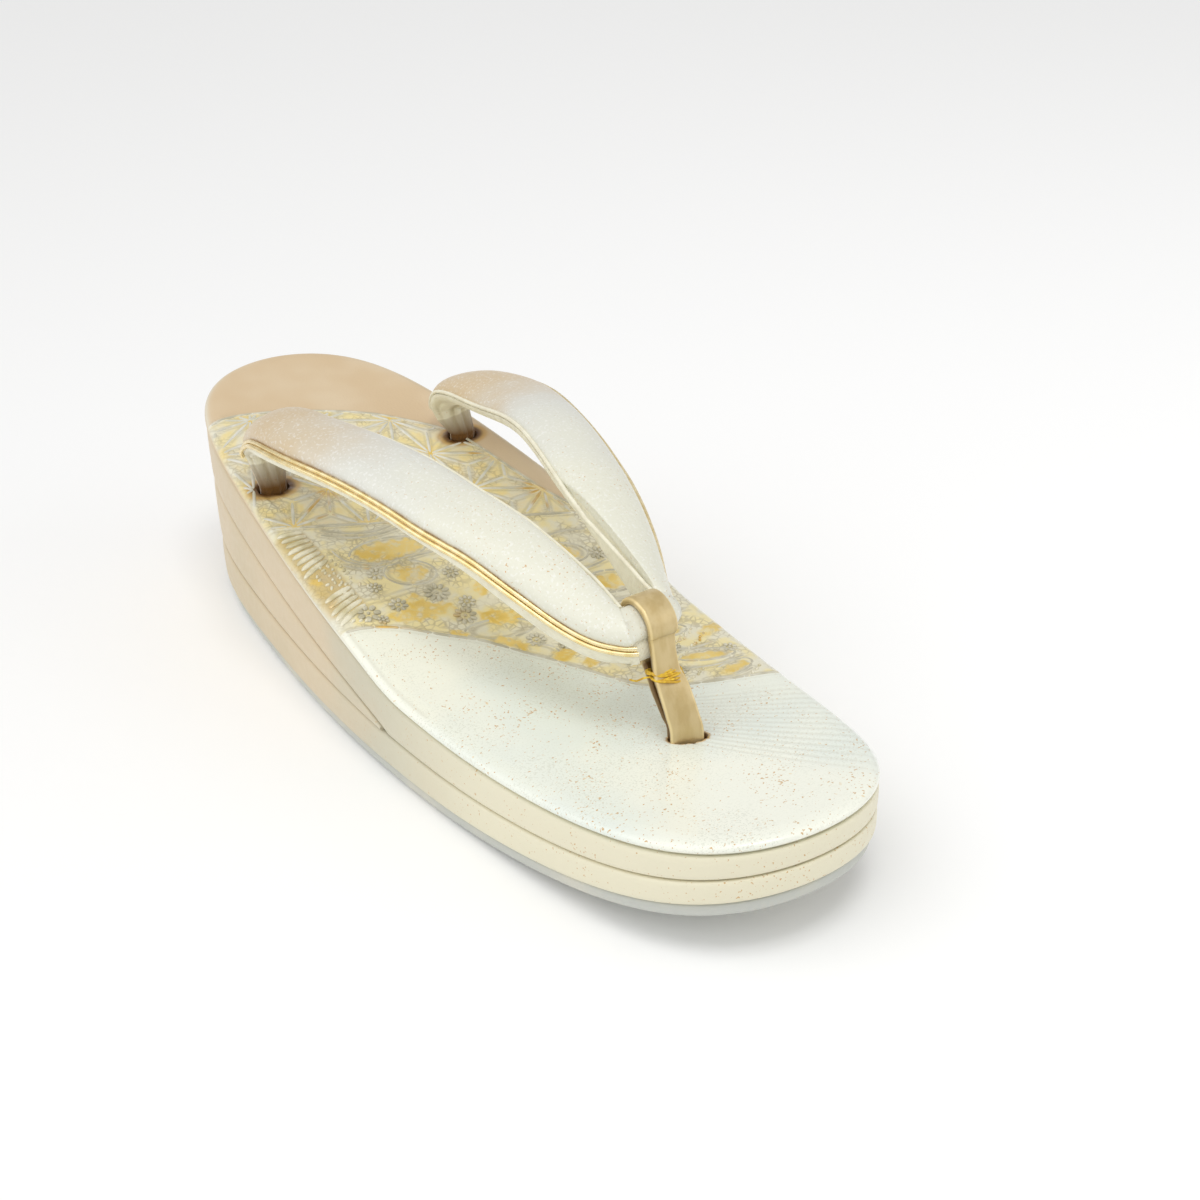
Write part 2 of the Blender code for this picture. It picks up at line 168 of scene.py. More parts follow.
def spread(tree, value, low, high, lowOut=0.0, highOut=1.0):
    # a soft step from lowOut to highOut between low and high
    return addNode(tree, "ShaderNodeMapRange", {"Value": value, "From Min": low, "From Max": high,
                                                "To Min": lowOut, "To Max": highOut},
                   interpolation_type="SMOOTHSTEP").outputs[0]


def fade(tree, value, low, high, first, second):
    # one colour into the other as the value goes from low to high
    return blendColour(tree, spread(tree, value, low, high), first, second)


def between(tree, value, lowOut, highOut):
    # the middle of a noise's own range, spread over the given one
    return spread(tree, value, 0.3, 0.7, lowOut, highOut)


def mark(tree, name):
    return addNode(tree, "ShaderNodeAttribute", {}, attribute_name=name).outputs["Fac"]


def objectPlace(tree):
    return addNode(tree, "ShaderNodeTexCoord", {}).outputs["Object"]


def grainy(tree, scale, detail=2.0, where=None):
    feeds = {"Vector": where or objectPlace(tree), "Scale": scale, "Detail": detail}
    return addNode(tree, "ShaderNodeTexNoise", feeds).outputs["Fac"]


def newGroup(name, output, **inputs):
    tree = bpy.data.node_groups.new(name, "ShaderNodeTree")
    for label, value in inputs.items():
        socket = tree.interface.new_socket(label, in_out="INPUT", socket_type="NodeSocketFloat")
        socket.default_value = value
    tree.interface.new_socket(output, in_out="OUTPUT", socket_type="NodeSocketFloat")
    return tree, tree.nodes.new("NodeGroupInput"), tree.nodes.new("NodeGroupOutput")


def useGroup(tree, group, **values):
    return addNode(tree, "ShaderNodeGroup", values, node_tree=group).outputs[0]


def newMaterial(name, **constants):
    made = bpy.data.materials.new(name)
    made.use_nodes = True
    shader = made.node_tree.nodes["Principled BSDF"]
    for socket, value in constants.items():
        shader.inputs[socket.replace("_", " ")].default_value = value
    return made, made.node_tree, shader


def finishShader(tree, shader, colour, roughness, height, strength, distance=0.0002):
    # every finish has its colour, its roughness and a bump
    bump = addNode(tree, "ShaderNodeBump", {"Height": height, "Strength": strength, "Distance": distance})
    tree.links.new(bump.outputs["Normal"], shader.inputs["Normal"])
    tree.links.new(colour, shader.inputs["Base Color"])
    tree.links.new(roughness, shader.inputs["Roughness"])


# small rusty age spots, gathered in loose clusters
ageSpots, entry, leave = newGroup("age spots", "Spots", Size=900.0, Amount=0.5)
fine = grainy(ageSpots, entry.outputs["Size"], 1.5)
cluster = grainy(ageSpots, 75.0, 2.0)
limit = sums(ageSpots, "SUBTRACT", 0.80, times(ageSpots, entry.outputs["Amount"], cluster))
overLimit = sums(ageSpots, "SUBTRACT", fine, limit)
ageSpots.links.new(spread(ageSpots, overLimit, 0.0, 0.035), leave.inputs["Spots"])

# pebbled leather grain as a height
leatherGrain, entry, leave = newGroup("leather grain", "Height", Scale=1400.0)
where = objectPlace(leatherGrain)
pebbles = addNode(leatherGrain, "ShaderNodeTexVoronoi", {"Vector": where, "Scale": entry.outputs["Scale"]},
                  feature="SMOOTH_F1")
creases = grainy(leatherGrain, 260.0, 4.0, where)
grainHeight = sums(leatherGrain, "ADD", pebbles.outputs["Distance"], times(leatherGrain, creases, 0.8))
leatherGrain.links.new(grainHeight, leave.inputs["Height"])

# share of the way from the heel, 0, to the toe, 1
alongSole, entry, leave = newGroup("along the sole", "Share")
splitPlace = addNode(alongSole, "ShaderNodeSeparateXYZ", {0: objectPlace(alongSole)})
alongSole.links.new(spread(alongSole, splitPlace.outputs["Y"], -0.12, 0.12), leave.inputs["Share"])

print("shared effects ready")


def makeEdgeLeather():
    colours = {
        "heel": tone(210, 194, 162),
        "middle": tone(203, 198, 176),
        "toe": tone(230, 224, 198),
        "flush": tone(217, 199, 168),
        "spot": tone(198, 150, 68),
    }
    made, tree, shader = newMaterial("wrapped edge leather", Coat_Weight=0.12, Coat_Roughness=0.35,
                                     Specular_IOR_Level=0.45)
    share = useGroup(tree, alongSole)
    colour = fade(tree, share, 0.25, 0.55, colours["heel"], colours["middle"])
    colour = fade(tree, share, 0.5, 0.85, colour, colours["toe"])
    early = sums(tree, "SUBTRACT", 1.0, spread(tree, share, 0.45, 0.8))
    flush = spread(tree, grainy(tree, 22.0), 0.45, 0.7)
    colour = blendColour(tree, times(tree, flush, early), colour, colours["flush"])
    spots = useGroup(tree, ageSpots, Size=1500.0, Amount=0.20)
    late = spread(tree, share, 0.35, 0.75, 0.1, 0.75)
    colour = blendColour(tree, times(tree, spots, late), colour, colours["spot"])
    rough = between(tree, grainy(tree, 500.0, 3.0), 0.40, 0.52)
    finishShader(tree, shader, colour, rough, useGroup(tree, leatherGrain, Scale=1900.0), 0.22)
    return made


def makeOutsoleRubber():
    colours = {"base": tone(196, 198, 191), "dust": tone(210, 208, 196)}
    made, tree, shader = newMaterial("outsole sheet", Specular_IOR_Level=0.35)
    cloud = grainy(tree, 60.0, 4.0)
    colour = fade(tree, cloud, 0.4, 0.7, colours["base"], colours["dust"])
    finishShader(tree, shader, colour, between(tree, cloud, 0.55, 0.72), grainy(tree, 1500.0, 4.0), 0.3)
    return made


def makeFootbedLeather():
    colours = {
        "ivory": tone(243, 244, 230),
        "cool": tone(230, 236, 227),
        "tan": tone(212, 187, 150),
        "tanLight": tone(219, 198, 165),
        "ground": tone(232, 227, 203),
        "wash": tone(240, 226, 170),
        "ink": tone(166, 154, 122),
        "pale": tone(236, 235, 222),
        "gold": tone(248, 220, 134),
        "goldDeep": tone(236, 202, 98),
        # the next two colours are painted shade: the darker one deep in the pits, the other round them and under the
        # ribs
        "hole": tone(98, 64, 24),
        "shadeBrown": tone(196, 156, 84),
        "crackle": tone(206, 208, 192),
        "spot": tone(196, 146, 58),
        "stain": tone(226, 186, 104),
    }
    made, tree, shader = newMaterial("footbed leather", Coat_Roughness=0.15, Specular_IOR_Level=0.5)
    tan, panel, shade = mark(tree, "tan"), mark(tree, "panel"), mark(tree, "shade")
    base = fade(tree, grainy(tree, 24.0), 0.42, 0.68, colours["ivory"], colours["cool"])
    heel = fade(tree, grainy(tree, 45.0), 0.35, 0.65, colours["tan"], colours["tanLight"])
    colour = blendColour(tree, tan, base, heel)
    ground = fade(tree, grainy(tree, 170.0, 3.0), 0.40, 0.62, colours["ground"], colours["wash"])
    colour = blendColour(tree, panel, colour, ground)
    colour = blendColour(tree, mark(tree, "pale"), colour, colours["pale"])
    colour = blendColour(tree, times(tree, mark(tree, "ink"), 0.64), colour, colours["ink"])
    # busy leafwork between the drawn motifs
    busy = times(tree, panel, spread(tree, grainy(tree, 130.0), 0.42, 0.58))
    lace = addNode(tree, "ShaderNodeTexVoronoi", {"Vector": objectPlace(tree), "Scale": 620.0},
                   feature="DISTANCE_TO_EDGE").outputs["Distance"]
    laceLines = times(tree, spread(tree, lace, 0.03, 0.16, 1.0, 0.0), busy)
    colour = blendColour(tree, times(tree, laceLines, 0.5), colour, colours["ink"])
    # gold leaf, worn to flakes
    flakes = spread(tree, grainy(tree, 420.0, 3.0), 0.34, 0.56, 0.35, 1.0)
    gilded = times(tree, mark(tree, "gold"), flakes)
    gold = fade(tree, grainy(tree, 120.0), 0.4, 0.65, colours["gold"], colours["goldDeep"])
    colour = blendColour(tree, gilded, colour, gold)
    # age spots, stains and the fine grey crackle of pearl leather on the plain front
    smoothFront = sums(tree, "SUBTRACT", 1.0, sums(tree, "ADD", tan, panel), clamp=True)
    crackle = times(tree, spread(tree, grainy(tree, 2300.0, 1.0), 0.54, 0.64),
                    spread(tree, grainy(tree, 55.0), 0.36, 0.6, 0.1, 0.5))
    for label, amount in (("spot", times(tree, useGroup(tree, ageSpots, Size=1500.0, Amount=0.26), 0.8)),
                          ("stain", times(tree, useGroup(tree, ageSpots, Size=800.0, Amount=0.16), 0.5)),
                          ("crackle", crackle)):
        colour = blendColour(tree, times(tree, amount, smoothFront), colour, colours[label])
    # painted shade round the pits and in the strip under the ribs, darkest in the pits
    colour = blendColour(tree, spread(tree, shade, 0.0, 0.55, 0.0, 0.85), colour, colours["shadeBrown"])
    colour = fade(tree, shade, 0.5, 0.95, colour, colours["hole"])
    tree.links.new(times(tree, gilded, 0.35), shader.inputs["Metallic"])
    tree.links.new(spread(tree, tan, 0.0, 1.0, 0.6, 0.05), shader.inputs["Coat Weight"])
    height = sums(tree, "SUBTRACT", useGroup(tree, leatherGrain, Scale=1500.0), times(tree, laceLines, 1.4))
    finishShader(tree, shader, colour, spread(tree, tan, 0.0, 1.0, 0.34, 0.5), height, 0.2)
    return made


def makeEmbossFinish(name, low, high, gildedFrom, gloss):
    # raised lines and beads of the pattern: pearl on their tops, gilded here and there
    made, tree, shader = newMaterial(name, Coat_Weight=0.3, Coat_Roughness=0.2, Specular_IOR_Level=0.55)
    cloud = grainy(tree, 210.0, 3.0)
    colour = fade(tree, cloud, 0.36, 0.64, low, high)
    gilded = spread(tree, grainy(tree, 90.0), gildedFrom, gildedFrom + 0.14)
    colour = blendColour(tree, gilded, colour, tone(216, 178, 96))
    tree.links.new(times(tree, gilded, 0.4), shader.inputs["Metallic"])
    grain = useGroup(tree, leatherGrain, Scale=2200.0)
    finishShader(tree, shader, colour, between(tree, cloud, gloss, gloss + 0.14), grain, 0.12, 0.0001)
    return made


def makeStrapLeather():
    colours = {
        "rear": tone(209, 187, 150),
        "pearl": tone(217, 217, 209),
        "front": tone(227, 226, 209),
        # the next colour is for painted glints of the pearl grain
        "glint": tone(248, 248, 246),
        # the next colour is painted shade along the outer seam, beside the piping
        "seamShade": tone(146, 108, 58),
        "spot": tone(200, 148, 66),
    }
    made, tree, shader = newMaterial("pearl strap leather", Coat_Weight=0.28, Coat_Roughness=0.28,
                                     Specular_IOR_Level=0.5, Sheen_Weight=0.12, Sheen_Roughness=0.4)
    along = mark(tree, "along")
    drift = sums(tree, "ADD", along, between(tree, grainy(tree, 60.0), -0.05, 0.05))
    colour = fade(tree, drift, 0.12, 0.44, colours["rear"], colours["pearl"])
    colour = fade(tree, drift, 0.3, 0.7, colour, colours["front"])
    # painted glints: tiny near-white flecks for the pearl grain's sparkle
    glints = spread(tree, grainy(tree, 1500.0, 1.0), 0.56, 0.70)
    colour = blendColour(tree, times(tree, glints, 0.35), colour, colours["glint"])
    spots = useGroup(tree, ageSpots, Size=1700.0, Amount=0.21)
    late = spread(tree, along, 0.25, 0.7, 0.1, 0.75)
    colour = blendColour(tree, times(tree, spots, late), colour, colours["spot"])
    # painted shade along the outer seam, beside the piping
    seam = times(tree, mark(tree, "seam"), spread(tree, grainy(tree, 320.0), 0.3, 0.6, 0.35, 0.95))
    colour = blendColour(tree, seam, colour, colours["seamShade"])
    rough = between(tree, grainy(tree, 700.0, 3.0), 0.34, 0.48)
    finishShader(tree, shader, colour, rough, useGroup(tree, leatherGrain, Scale=1300.0), 0.42, 0.00025)
    return made


def makeLining():
    colours = {
        "cream": tone(240, 236, 214),
        "worn": tone(230, 224, 200),
        # the next colour is painted shade in the hollows of the folds
        "deep": tone(176, 162, 118),
        "spot": tone(206, 158, 96),
        # the next colour is painted shade where the tail goes into its hole
        "shadeBrown": tone(104, 70, 26),
    }
    made, tree, shader = newMaterial("cream nap lining", Sheen_Weight=0.35, Sheen_Roughness=0.5,
                                     Specular_IOR_Level=0.2)
    cloud = grainy(tree, 300.0, 4.0)
    colour = fade(tree, cloud, 0.35, 0.68, colours["cream"], colours["worn"])
    # painted shade in the hollows of the lining's folds
    colour = blendColour(tree, mark(tree, "creaseShade"), colour, colours["deep"])
    spots = useGroup(tree, ageSpots, Size=1700.0, Amount=0.16)
    colour = blendColour(tree, times(tree, spots, 0.5), colour, colours["spot"])
    # painted shade at the bottom of the tail, where it goes into its hole
    colour = blendColour(tree, mark(tree, "shadeBrown"), colour, colours["shadeBrown"])
    weave = addNode(tree, "ShaderNodeTexWave", {"Vector": objectPlace(tree), "Scale": 520.0, "Distortion": 1.5},
                    bands_direction="DIAGONAL").outputs["Fac"]
    nap = sums(tree, "ADD", grainy(tree, 2600.0, 3.0), times(tree, weave, 0.6))
    finishShader(tree, shader, colour, between(tree, cloud, 0.82, 0.95), nap, 0.4)
    return made


def makeGoldPiping():
    colours = {"gold": tone(238, 214, 152), "bright": tone(249, 231, 182)}
    made, tree, shader = newMaterial("gold piping", Coat_Weight=0.25, Coat_Roughness=0.2)
    cloud = grainy(tree, 380.0, 3.0)
    colour = fade(tree, cloud, 0.35, 0.65, colours["gold"], colours["bright"])
    tree.links.new(between(tree, cloud, 0.86, 0.74), shader.inputs["Metallic"])
    rough = between(tree, grainy(tree, 900.0), 0.24, 0.34)
    finishShader(tree, shader, colour, rough, grainy(tree, 1600.0, 3.0), 0.06, 0.0001)
    return made


def makeLoopLeather():
    # rim is painted shade on the band's inner faces and along its edges
    colours = {"gold": tone(222, 197, 138), "bright": tone(236, 214, 160), "rim": tone(118, 88, 40)}
    made, tree, shader = newMaterial("gold loop leather", Coat_Weight=0.4, Coat_Roughness=0.18,
                                     Specular_IOR_Level=0.5)
    streaks = addNode(tree, "ShaderNodeMapping", {"Vector": objectPlace(tree), "Scale": (1.0, 1.0, 0.25)}).outputs[0]
    cloud = grainy(tree, 420.0, 4.0, streaks)
    colour = fade(tree, cloud, 0.34, 0.66, colours["gold"], colours["bright"])
    # painted shade on the band's inner faces and along its edges
    colour = blendColour(tree, mark(tree, "rim"), colour, colours["rim"])
    tree.links.new(between(tree, cloud, 0.38, 0.28), shader.inputs["Metallic"])
    rough = between(tree, grainy(tree, 800.0, 3.0), 0.34, 0.46)
    finishShader(tree, shader, colour, rough, useGroup(tree, leatherGrain, Scale=1700.0), 0.2)
    return made


def makeThread():
    colours = {"bright": tone(240, 204, 60), "deep": tone(206, 160, 40)}
    made, tree, shader = newMaterial("gold thread", Specular_IOR_Level=0.5, Coat_Weight=0.2)
    cloud = grainy(tree, 900.0)
    colour = fade(tree, cloud, 0.35, 0.65, colours["bright"], colours["deep"])
    tree.links.new(between(tree, cloud, 0.3, 0.15), shader.inputs["Metallic"])
    finishShader(tree, shader, colour, between(tree, cloud, 0.35, 0.5), grainy(tree, 3000.0), 0.4)
    return made


edgeLeather = makeEdgeLeather()
outsoleRubber = makeOutsoleRubber()
footbedLeather = makeFootbedLeather()
starFinish = makeEmbossFinish("embossed star lines", tone(206, 203, 184), tone(226, 224, 212), 0.56, 0.28)
beadFinish = makeEmbossFinish("embossed beads", tone(208, 199, 162), tone(236, 231, 208), 0.55, 0.18)
streamFinish = makeEmbossFinish("embossed stream lines", tone(190, 184, 160), tone(216, 212, 194), 0.58, 0.3)
petalFinish = makeEmbossFinish("embossed petals", tone(188, 182, 156), tone(214, 209, 188), 0.62, 0.32)
strapLeather = makeStrapLeather()
liningCloth = makeLining()
goldPiping = makeGoldPiping()
loopLeather = makeLoopLeather()
goldThread = makeThread()
print("materials ready")

# the sole's stack, in millimetres; each side is rows of inset and height as shares of the layer
sole = {
    "length": 240.0,
    "halfWidth": 41.8,
    "inwardBend": 1.0,
    "toeSpring": 13.6,
    "springStart": 0.62,
    "outsoleThickness": 3.4,
    "outsoleInset": 0.6,
    "lowerHeel": 12.2,
    "lowerToe": 5.8,
    "wedgeHeight": 20.6,
    "wedgeTip": 0.56,
    "wedgeFullness": 0.74,
    "wedgeLeast": 0.9,
    "topHeel": 16.3,
    "topToe": 5.6,
    "footbedThickness": 3.0,
    "footbedRoll": 4.5,
    "edgeRoll": 0.9,
    "gap": 0.3,
    "easing": 3.0,
    "easingReach": 20.0,
    "stations": 181,
    "waves": ((1, 1.066), (2, -0.012), (3, 0.095), (5, 0.029)),
    "bandSide": ((1.5, 0.0), (0.75, 0.012), (0.30, 0.06), (0.08, 0.16), (0.0, 0.34), (0.0, 0.66), (0.08, 0.84),
                 (0.30, 0.94), (0.75, 0.988), (1.5, 1.0)),
    "outsoleSide": ((2.2, 0.0), (1.2, 0.06), (0.7, 0.22), (0.45, 0.5), (0.5, 0.8), (0.8, 0.95), (1.4, 1.0)),
    "footbedSide": ((0.20, 0.0), (0.04, 0.22), (0.0, 0.42), (0.09, 0.68), (0.38, 0.90), (1.0, 1.0)),
}


def mixed(start, end, share):
    return start + (end - start) * share


def shareAt(y):
    return np.clip(np.asarray(y, dtype=float) / sole["length"] + 0.5, 0.0, 1.0)


def groundLevel(y):
    rise = np.maximum(0.0, (shareAt(y) - sole["springStart"]) / (1.0 - sole["springStart"]))
    return sole["toeSpring"] * rise ** 2


def outsoleTop(y):
    return groundLevel(y) + sole["outsoleThickness"]


def lowerTop(y):
    return outsoleTop(y) + mixed(sole["lowerHeel"], sole["lowerToe"], shareAt(y))


def wedgeTop(y):
    taper = np.maximum(0.0, (sole["wedgeTip"] - shareAt(y)) / sole["wedgeTip"])
    return lowerTop(y) + sole["wedgeHeight"] * taper ** sole["wedgeFullness"]


def stepTop(y):
    return wedgeTop(y) + mixed(sole["topHeel"], sole["topToe"], shareAt(y))


def layerTop(y):
    # eased where the wedge runs out, so that the footbed has no kink
    y = np.asarray(y, dtype=float)
    total = 0.0
    for shift in (-2.0, -1.0, 0.0, 1.0, 2.0):
        total = total + stepTop(y + shift * sole["easing"])
    middle = np.abs(y - (sole["wedgeTip"] - 0.5) * sole["length"])
    share = np.clip(1.5 - middle / sole["easingReach"], 0.0, 1.0)
    return mixed(stepTop(y), total / 5.0, share)


def footbedTop(y):
    return layerTop(y) + sole["footbedThickness"]


def halfWidthAt(angle):
    return sole["halfWidth"] * sum(share * np.sin(wave * angle) for wave, share in sole["waves"])


def outlinePoint(angle, side):
    middle = -sole["inwardBend"] * np.sin(angle) ** 2
    return np.stack([middle + side * halfWidthAt(angle), -np.cos(angle) * sole["length"] / 2], axis=-1)


def outlineInward(angle, side):
    run = unit(outlinePoint(angle + 0.001, side) - outlinePoint(angle - 0.001, side))
    return np.stack([-run[..., 1], run[..., 0]], axis=-1) * side


def slabRows(angles, sideRows, bottomAt, topAt, roll, inset=0.0, across=0):
    # one closed loop of points for each station from the heel to the toe, with points across the top if asked
    halves = []
    for side in (1, -1):
        edge = outlinePoint(angles, side)
        inward = outlineInward(angles, side)
        rows = []
        for share, height in sideRows:
            flat = edge + inward * (inset + share * roll)
            ends = np.isclose(np.sin(angles), 0.0, atol=1e-9)
            flat[ends, 0] = 0.0
            z = mixed(bottomAt(flat[:, 1]), topAt(flat[:, 1]), height)
            rows.append(np.column_stack([flat, z]))
        halves.append(np.stack(rows, axis=1))
    right, left = halves
    parts = [right]
    if across:
        shares = np.linspace(0.0, 1.0, across + 2)[1:-1]
        start, end = right[:, -1:, :], left[:, -1:, :]
        top = start + (end - start) * shares[None, :, None]
        top[..., 2] = topAt(top[..., 1])
        parts.append(top)
    parts += [left[:, ::-1], right[:, :1]]
    return np.concatenate(parts, axis=1)


def soleBand(name, node, finish, slotName, bottomAt, topAt, sideRows, inset=0.0, lastAngle=math.pi):
    angles = np.linspace(0.0, lastAngle, sole["stations"])
    points = slabRows(angles, smoothRows(sideRows, 2), bottomAt, topAt, sole["edgeRoll"], inset)
    settle(sweptPiece(name, points, finish), slotName, node)


halfGap = sole["gap"] / 2
wedgeStop = sole["wedgeTip"] * (1.0 - ((sole["wedgeLeast"] + sole["gap"]) / sole["wedgeHeight"])
                                ** (1.0 / sole["wedgeFullness"]))
soleBand("outsoleSheet", "outsole", outsoleRubber, "outsole_rubber", groundLevel, lambda y: outsoleTop(y) - halfGap,
         sole["outsoleSide"], sole["outsoleInset"])
soleBand("lowerWrap", "lower_layer", edgeLeather, "edge_leather", lambda y: outsoleTop(y) + halfGap,
         lambda y: lowerTop(y) - halfGap, sole["bandSide"])
soleBand("wedgeWrap", "heel_wedge", edgeLeather, "edge_leather", lambda y: lowerTop(y) + halfGap,
         lambda y: wedgeTop(y) - halfGap, sole["bandSide"], lastAngle=math.acos(1.0 - 2.0 * wedgeStop))
soleBand("topWrap", "top_layer", edgeLeather, "edge_leather", lambda y: wedgeTop(y) + halfGap,
         lambda y: layerTop(y) - halfGap, sole["bandSide"])
print("sole stack ready")

